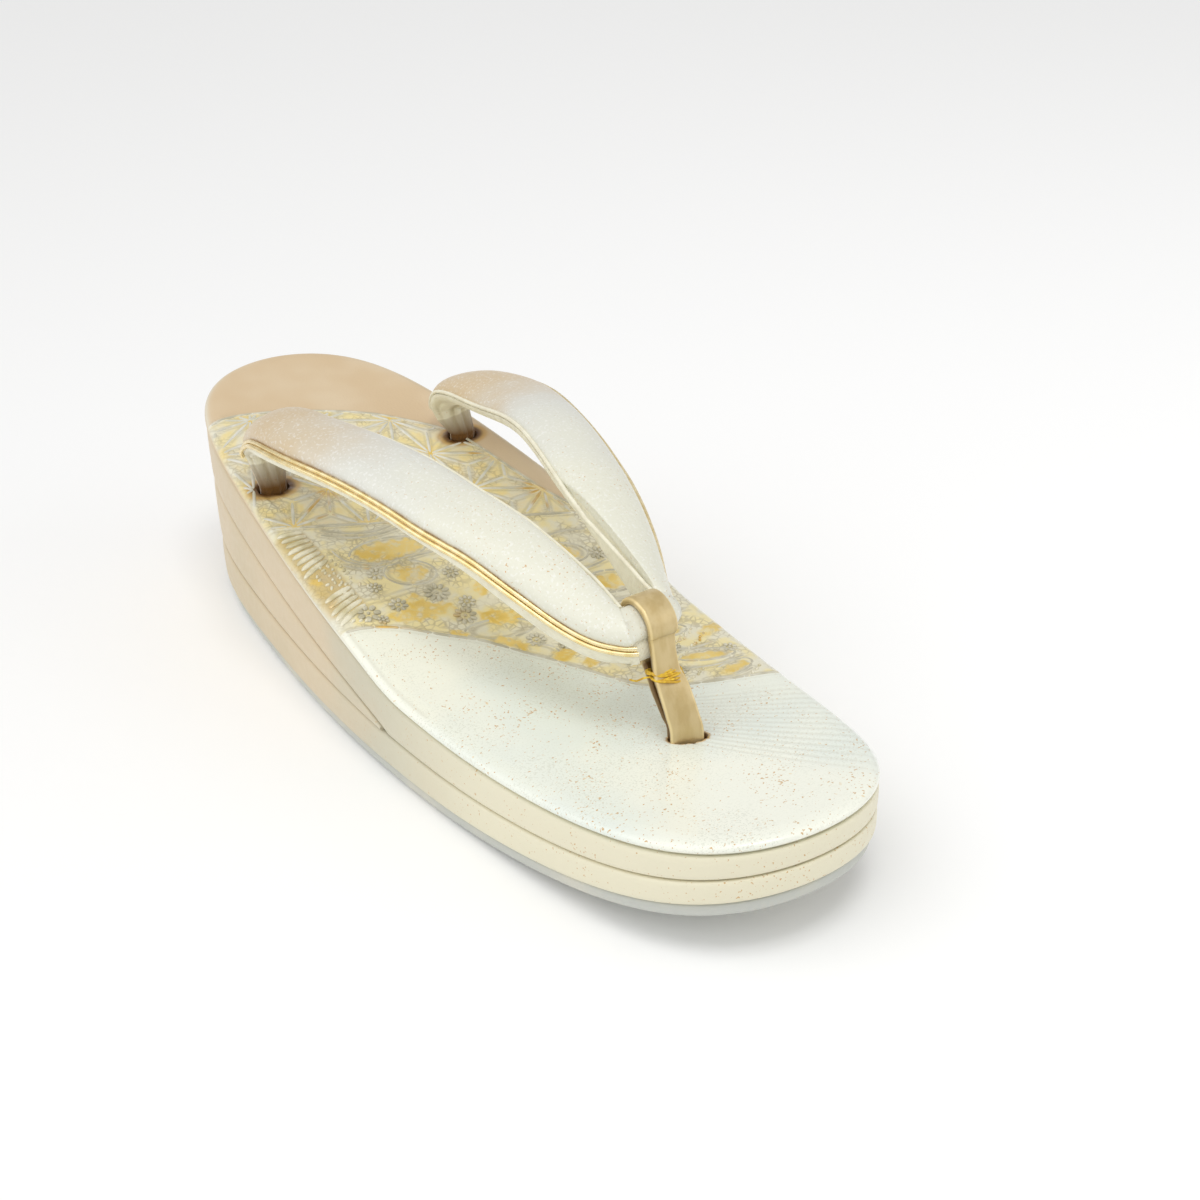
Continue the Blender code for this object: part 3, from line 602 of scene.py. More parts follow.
# the footbed's pattern, in millimetres and degrees
pattern = {
    # the embossed panel's two borders, seen from above: x, y
    "frontLine": ((44.0, -4.2), (40.5, -3.9), (34.7, -2.6), (30.3, -0.9), (25.9, 1.8), (20.4, 6.2), (13.3, 11.3),
                  (9.0, 16.0), (3.6, 24.0), (-1.8, 34.0), (-7.5, 45.5), (-12.5, 50.5), (-20.0, 54.5),
                  (-28.0, 57.8), (-36.0, 60.8), (-44.0, 63.0)),
    "rearLine": ((34.0, -91.0), (29.1, -93.8), (19.7, -94.1), (5.2, -89.4), (-10.0, -81.0), (-19.5, -71.8),
                 (-26.6, -62.6), (-29.4, -52.0), (-31.6, -40.0), (-35.2, -25.0), (-44.0, -8.0)),
    # the star lattice lies behind this line
    "starLine": ((-44.0, -14.5), (-24.0, -22.0), (-8.0, -28.0), (9.9, -34.8), (18.5, -38.0), (30.6, -42.6),
                 (44.0, -47.5)),
    "starSpacing": 18.5,
    "starTurn": 94.6,
    "starAt": (33.0, -61.8),
    # gilded leaves: x, y, half length, half width, turn
    "leaves": ((15.5, -25.2, 8.6, 3.4, -8.0), (15.4, -15.2, 4.2, 2.9, -20.0), (20.2, -2.0, 7.8, 2.6, -10.0),
               (19.6, -5.2, 3.2, 2.2, 70.0), (6.6, 16.4, 4.0, 2.0, 130.0), (4.0, 7.2, 5.4, 2.2, -25.0),
               (16.0, 8.0, 2.4, 1.3, -30.0), (-1.2, 26.4, 3.2, 2.3, 20.0), (-5.0, 32.2, 1.9, 1.8, 80.0),
               (37.2, -22.0, 1.5, 1.3, 60.0), (-30.4, 53.8, 4.3, 1.6, 8.0), (-28.8, 45.2, 5.4, 1.5, -24.0),
               (-37.0, 36.5, 4.6, 1.7, 18.0), (-36.0, 18.5, 4.0, 2.2, 40.0), (-26.0, 30.5, 5.0, 1.9, -20.0),
               (-14.0, 19.0, 4.4, 2.2, 35.0), (-28.0, 8.0, 4.8, 2.4, -12.0), (-9.0, 3.0, 5.2, 2.4, 20.0),
               (-22.0, -6.0, 5.6, 2.6, -24.0), (-5.0, -14.0, 5.6, 2.6, 12.0), (-14.0, 38.0, 3.6, 1.7, -40.0),
               (-20.0, 21.5, 3.0, 1.6, 10.0), (-36.0, -4.0, 3.6, 1.8, 30.0), (2.5, -3.5, 3.2, 1.8, 60.0)),
    # long ovals drawn round some leaves: x, y, half length, half width, turn, how far it is drawn
    "ovals": ((15.6, -25.2, 9.9, 4.7, -8.0, 1.0), (15.2, -15.3, 6.4, 4.6, -24.0, 1.0),
              (6.4, 10.6, 8.6, 3.2, -14.0, 1.0), (3.4, 21.6, 5.4, 3.3, -38.0, 0.8),
              (-14.0, 19.0, 6.6, 3.6, 35.0, 1.0), (-28.0, 8.0, 6.8, 3.8, -12.0, 1.0),
              (-9.0, 3.0, 7.4, 3.9, 20.0, 1.0), (-22.0, -6.0, 7.6, 4.0, -24.0, 1.0),
              (-5.0, -14.0, 7.8, 4.0, 12.0, 1.0), (-29.6, 53.8, 6.4, 2.7, 8.0, 0.8),
              (-28.8, 45.0, 7.2, 2.6, -24.0, 0.8), (-26.0, 30.5, 7.0, 3.0, -20.0, 1.0)),
    # flowing lines: each a run of x, y
    "streams": (((7.0, -32.0), (14.0, -31.6), (21.0, -33.2), (27.5, -37.6)),
                ((9.5, -33.4), (15.0, -33.2), (21.0, -35.2), (27.0, -39.4)),
                ((5.5, -19.8), (11.0, -20.3), (18.0, -19.8), (24.0, -21.2), (28.5, -24.6)),
                ((9.0, -21.2), (16.0, -20.9), (22.6, -22.0), (27.0, -26.0), (28.0, -31.0)),
                ((8.0, -9.4), (13.0, -8.8), (20.0, -9.8), (26.0, -9.8), (31.5, -10.2), (38.0, -7.2), (41.0, -5.2)),
                ((26.5, -11.4), (31.5, -11.4), (37.0, -8.8), (41.0, -6.4)),
                ((-0.4, 12.6), (6.0, 14.2), (13.0, 11.6)), ((4.6, 19.6), (7.6, 17.4), (12.0, 13.2)),
                ((-34.0, 56.4), (-28.0, 56.6), (-22.0, 54.0)), ((-36.0, 50.6), (-28.0, 50.2), (-21.0, 47.2)),
                ((-34.0, 41.4), (-27.0, 40.6), (-20.0, 36.0)), ((-38.0, 26.0), (-30.0, 24.0), (-22.0, 26.0)),
                ((-38.0, 13.0), (-30.0, 15.0), (-20.0, 12.0), (-12.0, 12.0)),
                ((-32.0, 1.0), (-24.0, 1.6), (-16.0, -1.6), (-8.0, -4.2), (0.0, -7.6)),
                ((-34.0, -11.0), (-26.0, -13.0), (-16.0, -11.0), (-9.0, -8.4))),
    # flowers: x, y, radius, petals
    "flowers": ((23.8, -6.4, 2.4, 8), (13.2, -6.4, 3.3, 10), (22.9, -18.6, 2.3, 8), (31.6, -6.9, 3.0, 7),
                (11.4, 3.4, 2.9, 9), (6.2, -11.4, 2.2, 8), (25.6, -14.2, 1.8, 7), (29.6, -3.4, 1.5, 6),
                (0.6, 17.6, 2.6, 9), (8.4, -0.6, 2.2, 8), (-24.0, 38.6, 2.6, 9), (-20.0, 47.0, 2.0, 7),
                (-33.0, 26.4, 2.6, 9), (-20.0, 14.6, 2.4, 9), (-6.0, 11.4, 2.6, 9), (-31.0, -2.0, 2.4, 8),
                (-14.0, -8.0, 2.6, 9), (-2.0, -21.6, 2.2, 8), (-35.6, 45.6, 2.0, 7), (-4.4, 23.0, 2.0, 7)),
    # fans of narrow ribs at the outer edge: y at the inner end, low and high, slope there and its growth
    "ribs": ((-40.5, -28.0, -0.22, 0.046), (-17.0, -10.3, 0.22, 0.02)),
    "ribSpacing": 1.75,
    "ribReach": (30.6, 42.0),
    # lines of small pearls: x, y of both ends, how many
    "pearls": (((31.2, -14.6), (31.8, -26.6), 11), ((32.8, -15.8), (33.4, -27.8), 10),
               ((28.8, -20.0), (29.6, -27.4), 6), ((35.0, -18.4), (36.6, -25.6), 5),
               ((27.0, -15.4), (29.6, -18.2), 3), ((33.0, -5.0), (37.6, -7.0), 4), ((-33.0, 34.0), (-19.0, 41.6), 12),
               ((-34.4, 37.6), (-20.6, 44.0), 11), ((-30.6, 34.6), (-19.6, 39.0), 9),
               ((-36.0, 56.6), (-31.0, 58.6), 4), ((-24.4, 50.0), (-17.6, 52.0), 6)),
    "pleatCentre": (15.5, 42.5),
    "pleatAngles": (117.0, 154.0),
    "pleatStep": 2.35,
    "pleatReach": (32.0, 74.0),
    # pits round the strap ends and the stem, darkened with painted shade: x, y, half length, half width, turn
    "pits": ((28.2, -60.5, 4.3, 2.9, 0.0), (-28.2, -60.5, 4.3, 2.9, 0.0), (-2.75, 71.6, 4.3, 2.35, -24.0)),
    "pitShade": (1.1, 1.1, 0.25),
    "pitDepth": 3.2,
    # the strip under the ribs, darkened with painted shade: middle x, half width, middle y, half length
    "strip": (36.2, 4.8, -25.0, 15.0),
    # heights of the soft relief
    "relief": {"border": 0.16, "ray": 0.12, "oval": 0.14, "leaf": 0.22, "stream": 0.12, "flower": 0.10,
               "starLine": 0.14, "pleat": 0.16},
    # how dark each drawn line is; strip is the painted shade under the ribs
    "ink": {"border": 0.6, "ray": 0.75, "oval": 0.8, "stream": 0.7, "flower": 0.34, "strip": 0.8, "starLine": 0.7,
            "pleat": 0.34, "hem": 0.45},
    # raised beads: half width, height, how late they taper
    "beads": {"star": (0.44, 0.26, 6.0), "line": (0.36, 0.22, 10.0), "border": (0.42, 0.30, 14.0),
              "rib": (0.74, 0.42, 4.0), "pearl": (0.36, 0.38, 2.0), "flowerMiddle": (0.45, 0.3, 2.0)},
    "petalHeight": 0.26,
    "petalTaper": 2.5,
    "beadLift": 0.15,
}

# the footbed's grid: fine along the pattern, coarser at the heel and the toe
footbedGrid = {"heelAngle": 0.62, "heelSteps": 36, "from": -97.0, "fine": 0.46, "toeFrom": 64.0, "coarse": 0.8,
               "to": 101.0, "toeSteps": 34, "across": 166}


def polylineDistance(x, y, line):
    best = np.full(x.shape, 1e9)
    for start, end in zip(line[:-1], line[1:]):
        run = np.asarray(end) - np.asarray(start)
        t = np.clip(((x - start[0]) * run[0] + (y - start[1]) * run[1]) / max(run @ run, 1e-9), 0.0, 1.0)
        best = np.minimum(best, np.hypot(x - start[0] - run[0] * t, y - start[1] - run[1] * t))
    return best


def insideLoop(x, y, loop):
    inside = np.zeros(x.shape, dtype=bool)
    for (ax, ay), (bx, by) in zip(loop, np.roll(loop, -1, axis=0)):
        if ay == by:
            continue
        crosses = ((ay > y) != (by > y)) & (x < ax + (y - ay) * (bx - ax) / (by - ay))
        inside ^= crosses
    return inside


def ovalReach(x, y, centreX, centreY, long, wide, turn):
    # 0 at the centre, 1 on the rim
    angle = math.radians(turn)
    u = (x - centreX) * math.cos(angle) + (y - centreY) * math.sin(angle)
    v = -(x - centreX) * math.sin(angle) + (y - centreY) * math.cos(angle)
    return np.hypot(u / long, v / wide)


def starBasis():
    angle = math.radians(pattern["starTurn"])
    spacing = pattern["starSpacing"]
    first = np.array([math.cos(angle), math.sin(angle)]) * spacing
    angle += math.pi / 3
    return first, np.array([math.cos(angle), math.sin(angle)]) * spacing


frontLine = smoothRows(pattern["frontLine"], 5)
rearLine = smoothRows(pattern["rearLine"], 5)
starLine = smoothRows(pattern["starLine"], 2)
panelLoop = np.concatenate([frontLine, rearLine[::-1]])
starLoop = np.concatenate([starLine, rearLine])


def edgeDistance(x, y):
    # how far a point lies inside the sole's outline
    angle = np.arccos(np.clip(-2.0 * y / sole["length"], -1.0, 1.0))
    middle = -sole["inwardBend"] * np.sin(angle) ** 2
    half = halfWidthAt(angle)
    slope = (halfWidthAt(angle + 0.01) - halfWidthAt(angle - 0.01)) / (
        0.02 * np.maximum(np.sin(angle), 0.02) * sole["length"] / 2)
    return (half - np.abs(x - middle)) / np.hypot(1.0, slope)


def surfaceHeight(x, y):
    # the footbed's top, rolled down near its edge
    rows = smoothRows(sole["footbedSide"][2:], 4)
    away = np.clip(edgeDistance(x, y) / sole["footbedRoll"], 0.0, 1.0)
    drop = 1.0 - np.interp(away, rows[:, 0], rows[:, 1])
    return footbedTop(y) - drop * sole["footbedThickness"]


def beside(away, offset, width):
    # a soft line that runs at an offset from another
    return hill(np.abs(away - offset), width)


def past(value, start, width):
    # 1 up to the start, then down to 0 within the width
    return hill(np.maximum(value - start, 0.0), width)


def latticeMarks(x, y):
    # how far a point lies from the nearest ray of the star lattice, and from the nearest star's middle
    first, second = starBasis()
    basis = np.linalg.inv(np.column_stack([first, second]))
    u = basis[0, 0] * (x - pattern["starAt"][0]) + basis[0, 1] * (y - pattern["starAt"][1])
    v = basis[1, 0] * (x - pattern["starAt"][0]) + basis[1, 1] * (y - pattern["starAt"][1])
    fu, fv = u - np.floor(u), v - np.floor(v)
    upper = fu + fv > 1.0
    weights = np.stack([np.where(upper, fu + fv - 1.0, 1.0 - fu - fv), np.where(upper, 1.0 - fv, fu),
                        np.where(upper, 1.0 - fu, fv)])
    ordered = np.sort(weights, axis=0)
    edge = ordered[0] * pattern["starSpacing"] * math.sqrt(3) / 2
    spoke = (ordered[1] - ordered[0]) * pattern["starSpacing"] / 2
    return np.minimum(edge, spoke), (1.0 - ordered[2]) * pattern["starSpacing"] * 0.95


def pleatFan(x, y):
    # fine pleats that fan out from the stem to the inner edge: where they are, and the way to the nearest groove
    px, py = x - pattern["pleatCentre"][0], y - pattern["pleatCentre"][1]
    around = np.degrees(np.arctan2(py, px))
    out = np.hypot(px, py)
    low, high = pattern["pleatAngles"]
    near, far = pattern["pleatReach"]
    fan = past(np.abs(around - (low + high) / 2), (high - low) / 2 - 3.0, 5.0) * past(-out, -near, 5.0)
    phase = (around + 0.02 * out) / pattern["pleatStep"]
    groove = np.abs(phase - np.round(phase)) * pattern["pleatStep"] * math.pi / 180.0 * out
    return fan * past(out, far, 8.0), groove


def patternMarks(x, y):
    # relief in millimetres and the masks that the material reads
    heights, inks = pattern["relief"], pattern["ink"]
    panel = insideLoop(x, y, panelLoop).astype(float)
    border = np.minimum(polylineDistance(x, y, frontLine), polylineDistance(x, y, rearLine))
    soft = np.clip(border / 0.5, 0.0, 1.0)
    panelMask = panel * soft
    stars = insideLoop(x, y, starLoop).astype(float) * panelMask
    relief = heights["border"] * hill(border, 0.9)
    pale = hill(border, 0.7) * 0.9
    ink = inks["border"] * beside(border, 0.95, 0.5) * (panel * 0.6 + 0.4)
    # star lattice: gold round each star's middle, a faint wash between its rays
    rays, toMiddle = latticeMarks(x, y)
    relief += stars * heights["ray"] * (hill(rays, 1.1) - beside(rays, 1.5, 0.9))
    ink = np.maximum(ink, stars * inks["ray"] * beside(rays, 0.85, 0.55))
    gold = np.maximum(stars * hill(toMiddle, 6.4), stars * 0.35 * beside(rays, 2.2, 1.6))
    rest = panelMask * (1.0 - stars)
    for oval in pattern["ovals"]:
        reach = (ovalReach(x, y, *oval[:5]) - 1.0) * oval[3]
        relief += rest * heights["oval"] * beside(reach, 0.0, 0.9)
        ink = np.maximum(ink, rest * inks["oval"] * beside(reach, -0.75, 0.5))
    for leaf in pattern["leaves"]:
        ripple = 1.0 + 0.12 * np.sin(x * 1.9 + y * 0.7) + 0.10 * np.sin(y * 2.6 - x * 1.3)
        reach = ovalReach(x, y, *leaf) * ripple
        relief += rest * heights["leaf"] * past(reach, 0.55, 0.5)
        gold = np.maximum(gold, rest * past(reach, 0.85, 0.32))
    for stream in pattern["streams"]:
        away = polylineDistance(x, y, smoothRows(stream, 4))
        ink = np.maximum(ink, rest * inks["stream"] * beside(away, 0.75, 0.5))
        relief += rest * heights["stream"] * hill(away, 0.9)
    for flower in pattern["flowers"]:
        centreX, centreY, radius = flower[:3]
        away = np.hypot(x - centreX, y - centreY)
        ink = np.maximum(ink, rest * inks["flower"] * past(away, radius * 0.8, 0.9))
        relief -= rest * heights["flower"] * past(away, radius * 0.8, 0.8)
    # ribs and pearls lie in a strip beside the outer edge, darkened with painted shade and faintly gilded
    middleX, halfX, middleY, halfY = pattern["strip"]
    strip = rest * past(np.abs(x - middleX), halfX, 1.8) * past(np.abs(y - middleY), halfY, 2.0)
    # painted shade under the ribs, as ink and shade over the whole strip
    ink = np.maximum(ink, strip * inks["strip"])
    gold = np.maximum(gold, strip * 0.3)
    shade = strip * 0.2
    # a line where the star lattice ends
    away = polylineDistance(x, y, starLine)
    pale = np.maximum(pale, panelMask * hill(away, 0.7) * 0.8)
    ink = np.maximum(ink, panelMask * inks["starLine"] * beside(away, 0.85, 0.45))
    relief += panelMask * heights["starLine"] * hill(away, 0.8)
    fan, groove = pleatFan(x, y)
    relief -= fan * (1.0 - panel) * heights["pleat"] * hill(groove, 0.65)
    ink = np.maximum(ink, fan * (1.0 - panel) * inks["pleat"] * hill(groove, 0.55))
    # pits that the strap ends and the stem go down into, with painted shade in and round them
    for pit, far in zip(pattern["pits"], pattern["pitShade"]):
        reach = ovalReach(x, y, *pit)
        relief -= pattern["pitDepth"] * past(reach, 0.75, 0.25)
        shade = np.maximum(shade, past(reach, 1.0, far) * 0.95)
    # a sewn hem inside the edge
    ink = np.maximum(ink, inks["hem"] * beside(edgeDistance(x, y), 1.9, 0.45) * (y < 30.0) * (y > -95.0))
    tan = (1.0 - panel) * (y < -5.0) * soft
    return relief, {"panel": panelMask, "gold": gold, "ink": ink, "pale": pale, "tan": tan, "shade": shade}


def buildFootbed():
    grid = footbedGrid
    places = np.concatenate([np.arange(grid["from"], grid["toeFrom"], grid["fine"]),
                             np.arange(grid["toeFrom"], grid["to"], grid["coarse"])])
    middle = np.arccos(-2.0 * places / sole["length"])
    rear = np.linspace(0.0, grid["heelAngle"], grid["heelSteps"])[:-1]
    front = np.linspace(middle[-1], math.pi, grid["toeSteps"])[1:]
    side = smoothRows(sole["footbedSide"], 3)
    points = slabRows(np.concatenate([rear, middle, front]), side, lambda y: layerTop(y) + halfGap, footbedTop,
                      sole["footbedRoll"], across=grid["across"])
    x, y = points[..., 0], points[..., 1]
    relief, marks = patternMarks(x, y)
    # the pattern fades out down the rolled side
    share = np.clip((side[:, 1] - 0.42) / 0.5, 0.0, 1.0)
    lift = np.concatenate([share, np.ones(grid["across"]), share[::-1], [0.0]])[None, :]
    points[..., 2] += relief * lift
    marks = {name: values * lift for name, values in marks.items()}
    marks["tan"] = np.maximum(marks["tan"], past(y, -70.0, 95.0) * (1.0 - lift))
    piece = sweptPiece("footbedCover", points, footbedLeather, marks, 50.0)
    settle(piece, "footbed_leather", "footbed")


buildFootbed()
print("footbed ready")


def beadTemplate(sides, rings):
    # a bead of unit length and width that lies along x, from a sphere
    bpy.ops.object.select_all(action="DESELECT")
    bpy.ops.mesh.primitive_uv_sphere_add(segments=sides, ring_count=rings, radius=1.0)
    piece = bpy.context.object
    points = np.empty(len(piece.data.vertices) * 3)
    piece.data.vertices.foreach_get("co", points)
    return piece, points.reshape(-1, 3)[:, [2, 1, 0]] * (1, 1, -1)


def beadField(name, spots, finish, sides, rings):
    # slim beads half sunk in the footbed: each spot is a run of points with a half width, a height and a taper
    template, unitPoints = beadTemplate(sides, rings)
    share = (unitPoints[:, 0] + 1.0) / 2.0
    radius = np.maximum(np.hypot(unitPoints[:, 1], unitPoints[:, 2]), 1e-6)
    copies = []
    for line, wide, high, taper in spots:
        copy = template.copy()
        copy.data = template.data.copy()
        bpy.context.collection.objects.link(copy)
        steps = np.linspace(0.0, 1.0, len(line))
        ahead, behind = np.clip(share + 0.02, 0.0, 1.0), np.clip(share - 0.02, 0.0, 1.0)
        x, y = (np.interp(share, steps, line[:, axis]) for axis in (0, 1))
        runX, runY = (np.interp(ahead, steps, line[:, axis]) - np.interp(behind, steps, line[:, axis])
                      for axis in (0, 1))
        size = np.hypot(runX, runY) + 1e-9
        full = np.minimum(1.0, np.sqrt(np.maximum(1.0 - np.abs(unitPoints[:, 0]) ** taper, 0.0)))
        sideways = unitPoints[:, 1] / radius * wide * full
        upward = unitPoints[:, 2] / radius * high * full
        x = x - runY / size * sideways
        y = y + runX / size * sideways
        z = surfaceHeight(x, y) + upward + high * pattern["beadLift"]
        copy.data.vertices.foreach_set("co", (np.column_stack([x, y, z]) * mm).reshape(-1))
        copy.data.update()
        copies.append(copy)
    bpy.data.objects.remove(template, do_unlink=True)
    piece = joinedPiece(name, copies, finish)
    piece.select_set(True)
    bpy.ops.object.mode_set(mode="EDIT")
    bpy.ops.mesh.select_all(action="SELECT")
    bpy.ops.mesh.remove_doubles(threshold=tinyReach)
    bpy.ops.mesh.normals_make_consistent(inside=False)
    bpy.ops.object.mode_set(mode="OBJECT")
    bpy.ops.object.shade_smooth()
    piece.select_set(False)
    settle(piece, "footbed_leather")


def starBars():
    # the lattice's bars: the sides of its triangles, and three spokes in each
    first, second = starBasis()
    origin = np.array(pattern["starAt"])
    bars = []
    for i in range(-6, 8):
        for j in range(-6, 8):
            here = origin + first * i + second * j
            for run in (first, second, second - first):
                bars.append((here, here + run))
            for a, b in ((first, second), (second, second - first)):
                middle = here + (a + b) / 3
                for corner in (here, here + a, here + b):
                    bars.append((corner, middle))
    kept = []
    for start, end in bars:
        ts = np.linspace(0.0, 1.0, 41)
        xs, ys = start[0] + (end[0] - start[0]) * ts, start[1] + (end[1] - start[1]) * ts
        good = insideLoop(xs, ys, starLoop) & insideLoop(xs, ys, panelLoop) & (edgeDistance(xs, ys) > 0.9)
        good &= np.minimum(polylineDistance(xs, ys, starLine), polylineDistance(xs, ys, rearLine)) > 0.5
        for pit in pattern["pits"]:
            good &= ovalReach(xs, ys, *pit) > 1.12
        places = np.nonzero(good)[0]
        if len(places) < 8 or places[-1] - places[0] + 1 != len(places):
            continue
        line = np.column_stack([xs[places], ys[places]])[[0, len(places) // 2, -1]]
        run = line[-1] - line[0]
        line[0] += run * 0.04
        line[-1] -= run * 0.04
        kept.append((line, *pattern["beads"]["star"]))
    return kept


def onPanel(line):
    return insideLoop(line[:, 0], line[:, 1], panelLoop) & (edgeDistance(line[:, 0], line[:, 1]) > 0.7)


def ovalLines():
    # the ovals in quarters, the flowing lines, and the panel's borders in short runs
    lines = []
    for x, y, long, wide, turn, drawn in pattern["ovals"]:
        angle = math.radians(turn)
        turns = np.linspace(0.0, 2 * math.pi * drawn, 9)
        for start in range(0, 8, 2):
            bend = np.linspace(turns[start], turns[start + 2], 9)
            u, v = long * np.cos(bend), wide * np.sin(bend)
            lines.append(np.column_stack([x + u * math.cos(angle) - v * math.sin(angle),
                                          y + u * math.sin(angle) + v * math.cos(angle)]))
    for stream in pattern["streams"]:
        lines.append(smoothRows(stream, 5))
    kept = []
    for line in lines:
        if (onPanel(line) & ~insideLoop(line[:, 0], line[:, 1], starLoop)).all():
            kept.append((line, *pattern["beads"]["line"]))
    for border in (frontLine, rearLine, starLine):
        good = np.nonzero(edgeDistance(border[:, 0], border[:, 1]) > 0.3)[0]
        run = border[good[0]:good[-1] + 1]
        for start in range(0, len(run) - 1, 6):
            part = run[start:start + 7]
            if len(part) > 1:
                kept.append((part, *pattern["beads"]["border"]))
    return kept


def ribLines():
    kept = []
    low, high = pattern["ribReach"]
    for start, end, slope, growth in pattern["ribs"]:
        count = int(round((end - start) / pattern["ribSpacing"]))
        for place in range(count + 1):
            first = start + place * pattern["ribSpacing"]
            xs = np.linspace(low, high, 15)
            ys = first + (xs - low) * (slope + growth * (first - start)) + ((xs - low) / 10.0) ** 2 * 0.9
            good = edgeDistance(xs, ys) > 1.0
            if good.sum() > 7:
                kept.append((np.column_stack([xs, ys])[good], *pattern["beads"]["rib"]))
    return kept


def pearlSpots():
    kept = []
    chance = np.random.default_rng(7)
    for start, end, count in pattern["pearls"]:
        for place in range(count):
            share = place / max(count - 1, 1)
            x, y = np.array(start) + (np.array(end) - np.array(start)) * share + chance.uniform(-0.35, 0.35, 2)
            turn = chance.uniform(0.2, 1.2)
            half = chance.uniform(0.45, 0.75)
            run = np.array([math.cos(turn), math.sin(turn)]) * half
            kept.append((np.array([(x, y) - run, (x, y), (x, y) + run]), *pattern["beads"]["pearl"]))
    return kept


def petalSpots():
    kept = []
    for x, y, radius, petals in pattern["flowers"]:
        for place in range(petals):
            turn = 2 * math.pi * place / petals + x
            run = np.array([math.cos(turn), math.sin(turn)])
            here = np.array([x, y])
            kept.append((np.array([here + run * radius * 0.38, here + run * radius * 0.7, here + run * radius]),
                         radius * 0.9 / petals * 2.0, pattern["petalHeight"], pattern["petalTaper"]))
        kept.append((np.array([(x - 0.45, y), (x, y), (x + 0.45, y)]), *pattern["beads"]["flowerMiddle"]))
    return [spot for spot in kept if onPanel(spot[0]).all()]


# the last two numbers are the sides and rings of a bead
beadField("embossedStars", starBars(), starFinish, 8, 11)
beadField("embossedLines", ovalLines(), streamFinish, 8, 25)
beadField("embossedRibs", ribLines(), beadFinish, 10, 19)
beadField("embossedPearls", pearlSpots(), beadFinish, 10, 7)
beadField("embossedPetals", petalSpots(), petalFinish, 8, 7)
print("embossing ready")

# the straps: rows of their seams run from the hole to the loop
strap = {
    "anchorSetback": 60.5,
    "anchorSpread": 30.0,
    "rise": 36.5,
    "innerSlack": 5.6,
    "outerSeamSlack": 0.3,
    "slackLength": 0.52,
    "slackLead": 0.05,
    "crown": 4.2,
    "depth": 4.8,
    "tailInset": 0.94,
    "tailWidth": 7.2,
    "tailThickness": 4.4,
    "tailDepth": 5.5,
    "tailShows": 1.0,
    "loopAt": 61.2,
    "loopSidestep": 1.2,
    "loopWidth": 7.5,
    "fit": 0.3,
    "squeeze": 0.08,
    "steps": 8,
    "skinPoints": 34,
    "edgeTuck": 0.55,
    "endRound": (0.72, 0.50, 0.33, 0.20, 0.11, 0.05),
    "liningProud": 0.7,
    "welt": 8.5,
    "foldDepth": 0.6,
    "foldCount": 9.0,
    "gather": (12.0, 4.0, 12.0),
    "bulge": 1.1,
    # inner seam: along, out, up; outer seam: along, out, up; crown, inner drop, outer drop, outer lean
    "rows": ((-0.026, 0.78, 0.150, -0.030, 1.070, 0.150, 0.62, 0.55, 0.55, 0.00),
             (-0.028, 0.72, 0.270, -0.030, 1.100, 0.270, 0.78, 0.75, 0.75, 0.00),
             (0.005, 0.70, 0.465, 0.030, 1.165, 0.450, 0.92, 0.95, 0.90, 0.00),
             (0.082, 0.69, 0.635, 0.108, 1.225, 0.600, 1.00, 1.00, 0.90, 0.00),
             (0.205, 0.64, 0.765, 0.235, 1.230, 0.740, 1.00, 1.00, 0.85, 0.00),
             (0.388, 0.50, 0.915, 0.414, 1.075, 0.860, 1.00, 1.00, 0.80, 0.00),
             (0.575, 0.34, 1.000, 0.602, 0.900, 0.935, 1.00, 1.00, 0.80, 0.10),
             (0.678, 0.245, 1.000, 0.702, 0.775, 0.915, 1.00, 1.00, 1.10, 0.25),
             (0.780, 0.175, 0.930, 0.803, 0.630, 0.805, 1.00, 1.05, 1.50, 0.50)),
    "outerFront": ((0.872, 0.125, 0.840, 0.896, 0.485, 0.685, 1.00, 1.15, 1.85, 0.85),
                   (0.930, 0.120, 0.780, 0.962, 0.385, 0.635, 0.95, 1.20, 1.90, 1.15),
                   (0.958, 0.130, 0.765, 1.010, 0.275, 0.625, 0.88, 1.25, 1.70, 1.45),
                   (0.965, 0.140, 0.760, 1.030, 0.190, 0.625, 0.80, 1.20, 1.35, 1.80)),
    "innerFront": ((0.872, 0.130, 0.840, 0.888, 0.465, 0.690, 1.00, 1.10, 1.30, 0.60),
                   (0.926, 0.135, 0.780, 0.938, 0.350, 0.645, 0.95, 1.15, 1.30, 0.80),
                   (0.948, 0.160, 0.765, 0.970, 0.265, 0.632, 0.88, 1.20, 1.30, 1.10),
                   (0.955, 0.178, 0.758, 0.992, 0.208, 0.630, 0.80, 1.20, 1.30, 1.50)),
    "heldInner": (0.959, 0.755),
    "heldOuter": (1.015, 0.630),
    "heldShares": (0.75, 1.20, 1.30, 1.95),
}


handleReach = 4 / 3  # how far a curve's handles stand out for a crown of a given height


def closed(values):
    # the first column again at the end
    return np.concatenate([values, values[:, :1]], axis=1)


def strapPoint(along, out, up, slack=0.0):
    y = mixed(-strap["anchorSetback"], strap["loopAt"], along)
    t = min(1.0, max(0.0, (along + strap["slackLead"]) / strap["slackLength"]))
    sag = slack * t * (1.0 - t) ** 2 * 27 / 4
    return np.array([out * strap["anchorSpread"], y, float(footbedTop(y)) + up * strap["rise"] - sag])


def handleCurve(start, handleA, handleB, end, count):
    t = np.linspace(0.0, 1.0, count)[:, None]
    return (start * (1 - t) ** 3 + handleA * 3 * t * (1 - t) ** 2 + handleB * 3 * t ** 2 * (1 - t) + end * t ** 3)


